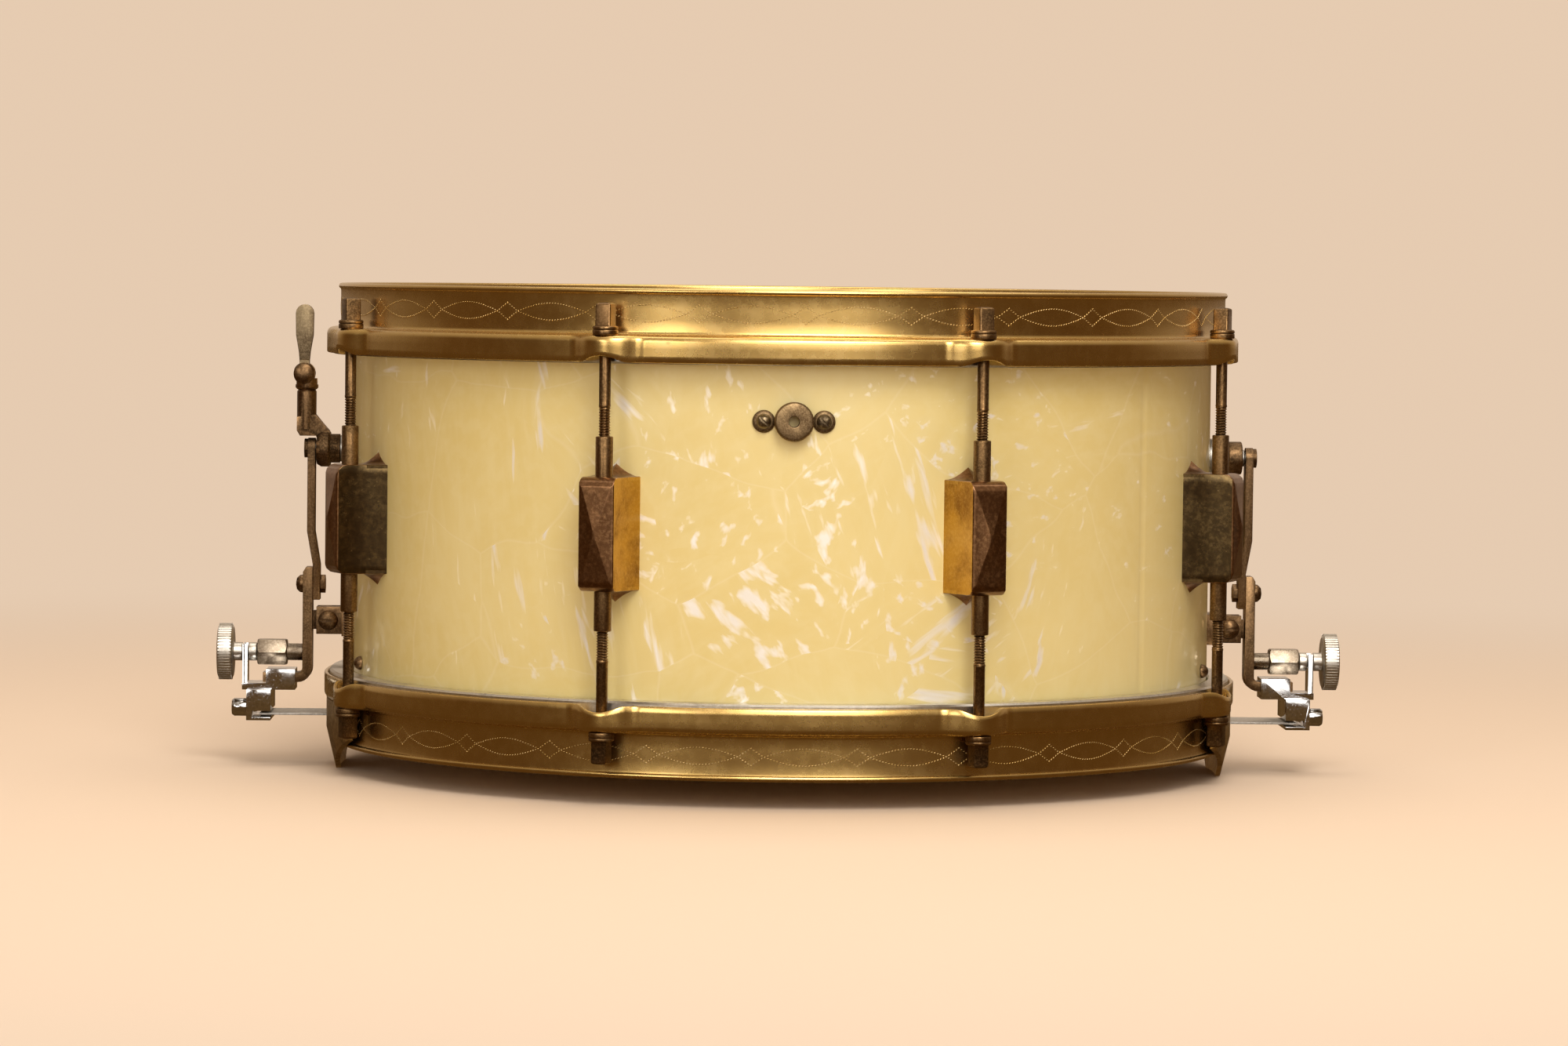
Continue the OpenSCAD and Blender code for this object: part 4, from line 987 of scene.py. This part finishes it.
# Clevises, straps and arms, the same on both sides.
# Bent steel strip, plated like the lugs: a strap hangs from the cross rod and is bolted to an
# arm that swings on a pin in a clevis screwed to the shell.
for node, name, edge in (("clevises", "side_clevises", 0.4), ("pivot_screws", "clevis_screws", 0.2),
                         ("dome_screws", "base_screws", 0.1), ("strap_left", "left_strap", 0.45),
                         ("strap_right", "right_strap", 0.45), ("arm_left", "left_arm_bar", 0.6),
                         ("arm_right", "right_arm_bar", 0.6), ("lap_bolt_left", "left_lap_bolt", 0.2),
                         ("lap_bolt_right", "right_lap_bolt", 0.2)):
    softened(node, name, "dark_bronze", strainer, edge, 3)

# Posts, thumb screws, slides and clamps.
# The bright parts: a hexagonal post on each arm takes a knurled thumb screw, which draws a
# chromed slide along the arm's foot. The slide's jaw holds the snares' strip under a screw.
nickel = old_metal("bright_nickel", (0.80, 0.77, 0.71), (0.58, 0.54, 0.48), (0.25, 0.21, 0.17),
                   Scale=60.0, Patina=0.3, Pits=0.6, Wear=0.7, Polish=0.3)
post_metal = old_metal("post_nickel", (0.62, 0.53, 0.42), (0.33, 0.27, 0.20), (0.13, 0.09, 0.06),
                       Scale=60.0, Patina=0.4, Pits=0.6, Wear=0.8, Polish=0.22)
chrome = old_metal("bright_chrome", (0.84, 0.85, 0.86), (0.52, 0.53, 0.55), (0.27, 0.26, 0.25),
                   Scale=50.0, Patina=0.22, Pits=0.5, Wear=0.6, Polish=0.06)
for side in ("left", "right"):
    softened("post_" + side, side + "_hex_post", "nickel", post_metal, 0.3)
    softened("thumb_screw_" + side, side + "_thumb_screw", "nickel", nickel, 0.3)
    softened("slide_" + side, side + "_slide", "bright_chrome", chrome, 0.35, 3)
    softened("clamp_screw_" + side, side + "_clamp_screw", "bright_chrome", chrome, 0.2)

ribs, given, result, rib_keys = geometry_tree(
    "coin_edge", {"Radius": 11.5 * MM, "Ribs": 56, "Length": 5.4 * MM, "Depth": 0.5 * MM,
                  "Width": 0.8 * MM, "Along": 0.2})
ring = step(ribs, "GeometryNodeMeshCircle", {"Vertices": given["Ribs"], "Radius": given["Radius"]})
ring = step(ribs, "GeometryNodeTransform", {"Geometry": ring, "Rotation": (0, math.pi / 2, 0)})
spot = step(ribs, "GeometryNodeInputPosition", {})
face_out = step(ribs, "FunctionNodeAlignRotationToVector", {"Vector": spot}, axis="Z")
face_out = step(ribs, "FunctionNodeAlignRotationToVector",
                {"Rotation": face_out, "Vector": (1, 0, 0)}, axis="X", pivot_axis="Z")
size = step(ribs, "ShaderNodeCombineXYZ", {"X": given["Length"], "Y": given["Width"],
                                           "Z": given["Depth"]})
rib = step(ribs, "GeometryNodeMeshCube", {"Size": (1, 1, 1)})
rib = step(ribs, "GeometryNodeTransform", {"Geometry": rib, "Scale": size})
row = step(ribs, "GeometryNodeInstanceOnPoints", {"Points": ring, "Instance": rib,
                                                  "Rotation": face_out})
row = step(ribs, "GeometryNodeRealizeInstances", {"Geometry": row})
move = step(ribs, "ShaderNodeCombineXYZ", {"X": given["Along"], "Z": 46.4 * MM})
row = step(ribs, "GeometryNodeTransform", {"Geometry": row, "Translation": move})
ribs.links.new(step(ribs, "GeometryNodeSetMaterial", {"Geometry": row, "Material": nickel}),
               result["Geometry"])
KNOB_MIDDLE = SHELL_R + 52.35 * MM
for side, sign in (("left", -1), ("right", 1)):
    grown(linked("blank", bmesh.new()), ribs, rib_keys, {"Along": sign * KNOB_MIDDLE},
          side + "_coin_edge", side + "_thumb", "nickel", nickel, smooth=30)

# Snares.
# Twelve coils of fine steel wire soldered to two end plates, drawn against the lower head by
# flat strips that leave through the hoop's gates and the guards.
coils, given, result, coil_keys = geometry_tree(
    "snare_coils", {"Length": 0.32, "Turns": 160.0, "Radius": 0.68 * MM, "Wire": 0.17 * MM,
                    "Strands": 12, "Spacing": 2.0 * MM, "Height": 0.0})
helix = step(coils, "GeometryNodeCurveSpiral", {"Resolution": 8, "Rotations": given["Turns"],
                                               "Start Radius": given["Radius"],
                                               "End Radius": given["Radius"],
                                               "Height": given["Length"]})
wire = step(coils, "GeometryNodeCurvePrimitiveCircle", {"Resolution": 4, "Radius": given["Wire"]})
tube = step(coils, "GeometryNodeCurveToMesh", {"Curve": helix, "Profile Curve": wire,
                                               "Fill Caps": True})
half = step(coils, "ShaderNodeMath", {0: given["Length"], 1: -0.5}, operation="MULTIPLY")
shift = step(coils, "ShaderNodeCombineXYZ", {"Z": half})
tube = step(coils, "GeometryNodeTransform", {"Geometry": tube, "Translation": shift})
tube = step(coils, "GeometryNodeTransform", {"Geometry": tube, "Rotation": (0, math.pi / 2, 0)})
gap = step(coils, "ShaderNodeCombineXYZ", {"Y": given["Spacing"]})
row = step(coils, "GeometryNodeMeshLine", {"Count": given["Strands"], "Offset": gap})
fan = step(coils, "GeometryNodeInstanceOnPoints", {"Points": row, "Instance": tube})
fan = step(coils, "GeometryNodeRealizeInstances", {"Geometry": fan})
back = step(coils, "ShaderNodeMath", {0: given["Strands"], 1: -1.0}, operation="ADD")
back = step(coils, "ShaderNodeMath", {0: back, 1: given["Spacing"]}, operation="MULTIPLY")
back = step(coils, "ShaderNodeMath", {0: back, 1: -0.5}, operation="MULTIPLY")
settle = step(coils, "ShaderNodeCombineXYZ", {"Y": back, "Z": given["Height"]})
fan = step(coils, "GeometryNodeTransform", {"Geometry": fan, "Translation": settle})
coils.links.new(step(coils, "GeometryNodeSetMaterial", {"Geometry": fan, "Material": ring_steel}),
                result["Geometry"])
COIL_END = 0.155
wires = grown(linked("span", bmesh.new()), coils, coil_keys,
              {"Length": 2 * COIL_END, "Spacing": 2.035 * MM, "Height": STRIP_Z}, "snare_coils",
              "snares", "steel", ring_steel, smooth=60)
STRIP_W = strip_high.y - strip_low.y
PLATE = (COIL_END, 0.164, -1.0 * MM, 0.3 * MM)
STRIP = (0.162, strip_high.x, -0.4 * MM, 0.4 * MM)
soft = 0.12 * MM
bm = bmesh.new()
for sign in (-1, 1):
    for first, last, low, high in (PLATE, STRIP):
        rows = []
        for x, inset in ((first, soft), (first + soft, 0), (last - soft, 0), (last, soft)):
            half = STRIP_W / 2 - inset
            rows.append([(sign * x, y, STRIP_Z + z) for y, z in
                         ((-half, low + soft), (-half + soft, low + inset), (half - soft, low + inset),
                          (half, low + soft), (half, high - soft), (half - soft, high - inset),
                          (-half + soft, high - inset), (-half, high - soft))])
        loft(bm, rows)
new_piece("snare_strips", outwards(bm), "snares", "steel", dull_steel, smooth=30)
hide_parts("snare_wires")

# Snare guards.
# Bowed brass strips riveted under the lower hoop's ledge at both gates. The drum stands on their
# bent-in feet, which keep the snares off the ground.
guard_brass = old_metal("guard_brass", (0.78, 0.58, 0.30), (0.46, 0.31, 0.13), (0.18, 0.11, 0.05),
                        Scale=26.0, Patina=0.55, Pits=0.5, Wear=0.8, Polish=0.3)
softened("snare_guards", "snare_guard_strips", "dark_bronze", guard_brass, 0.35)
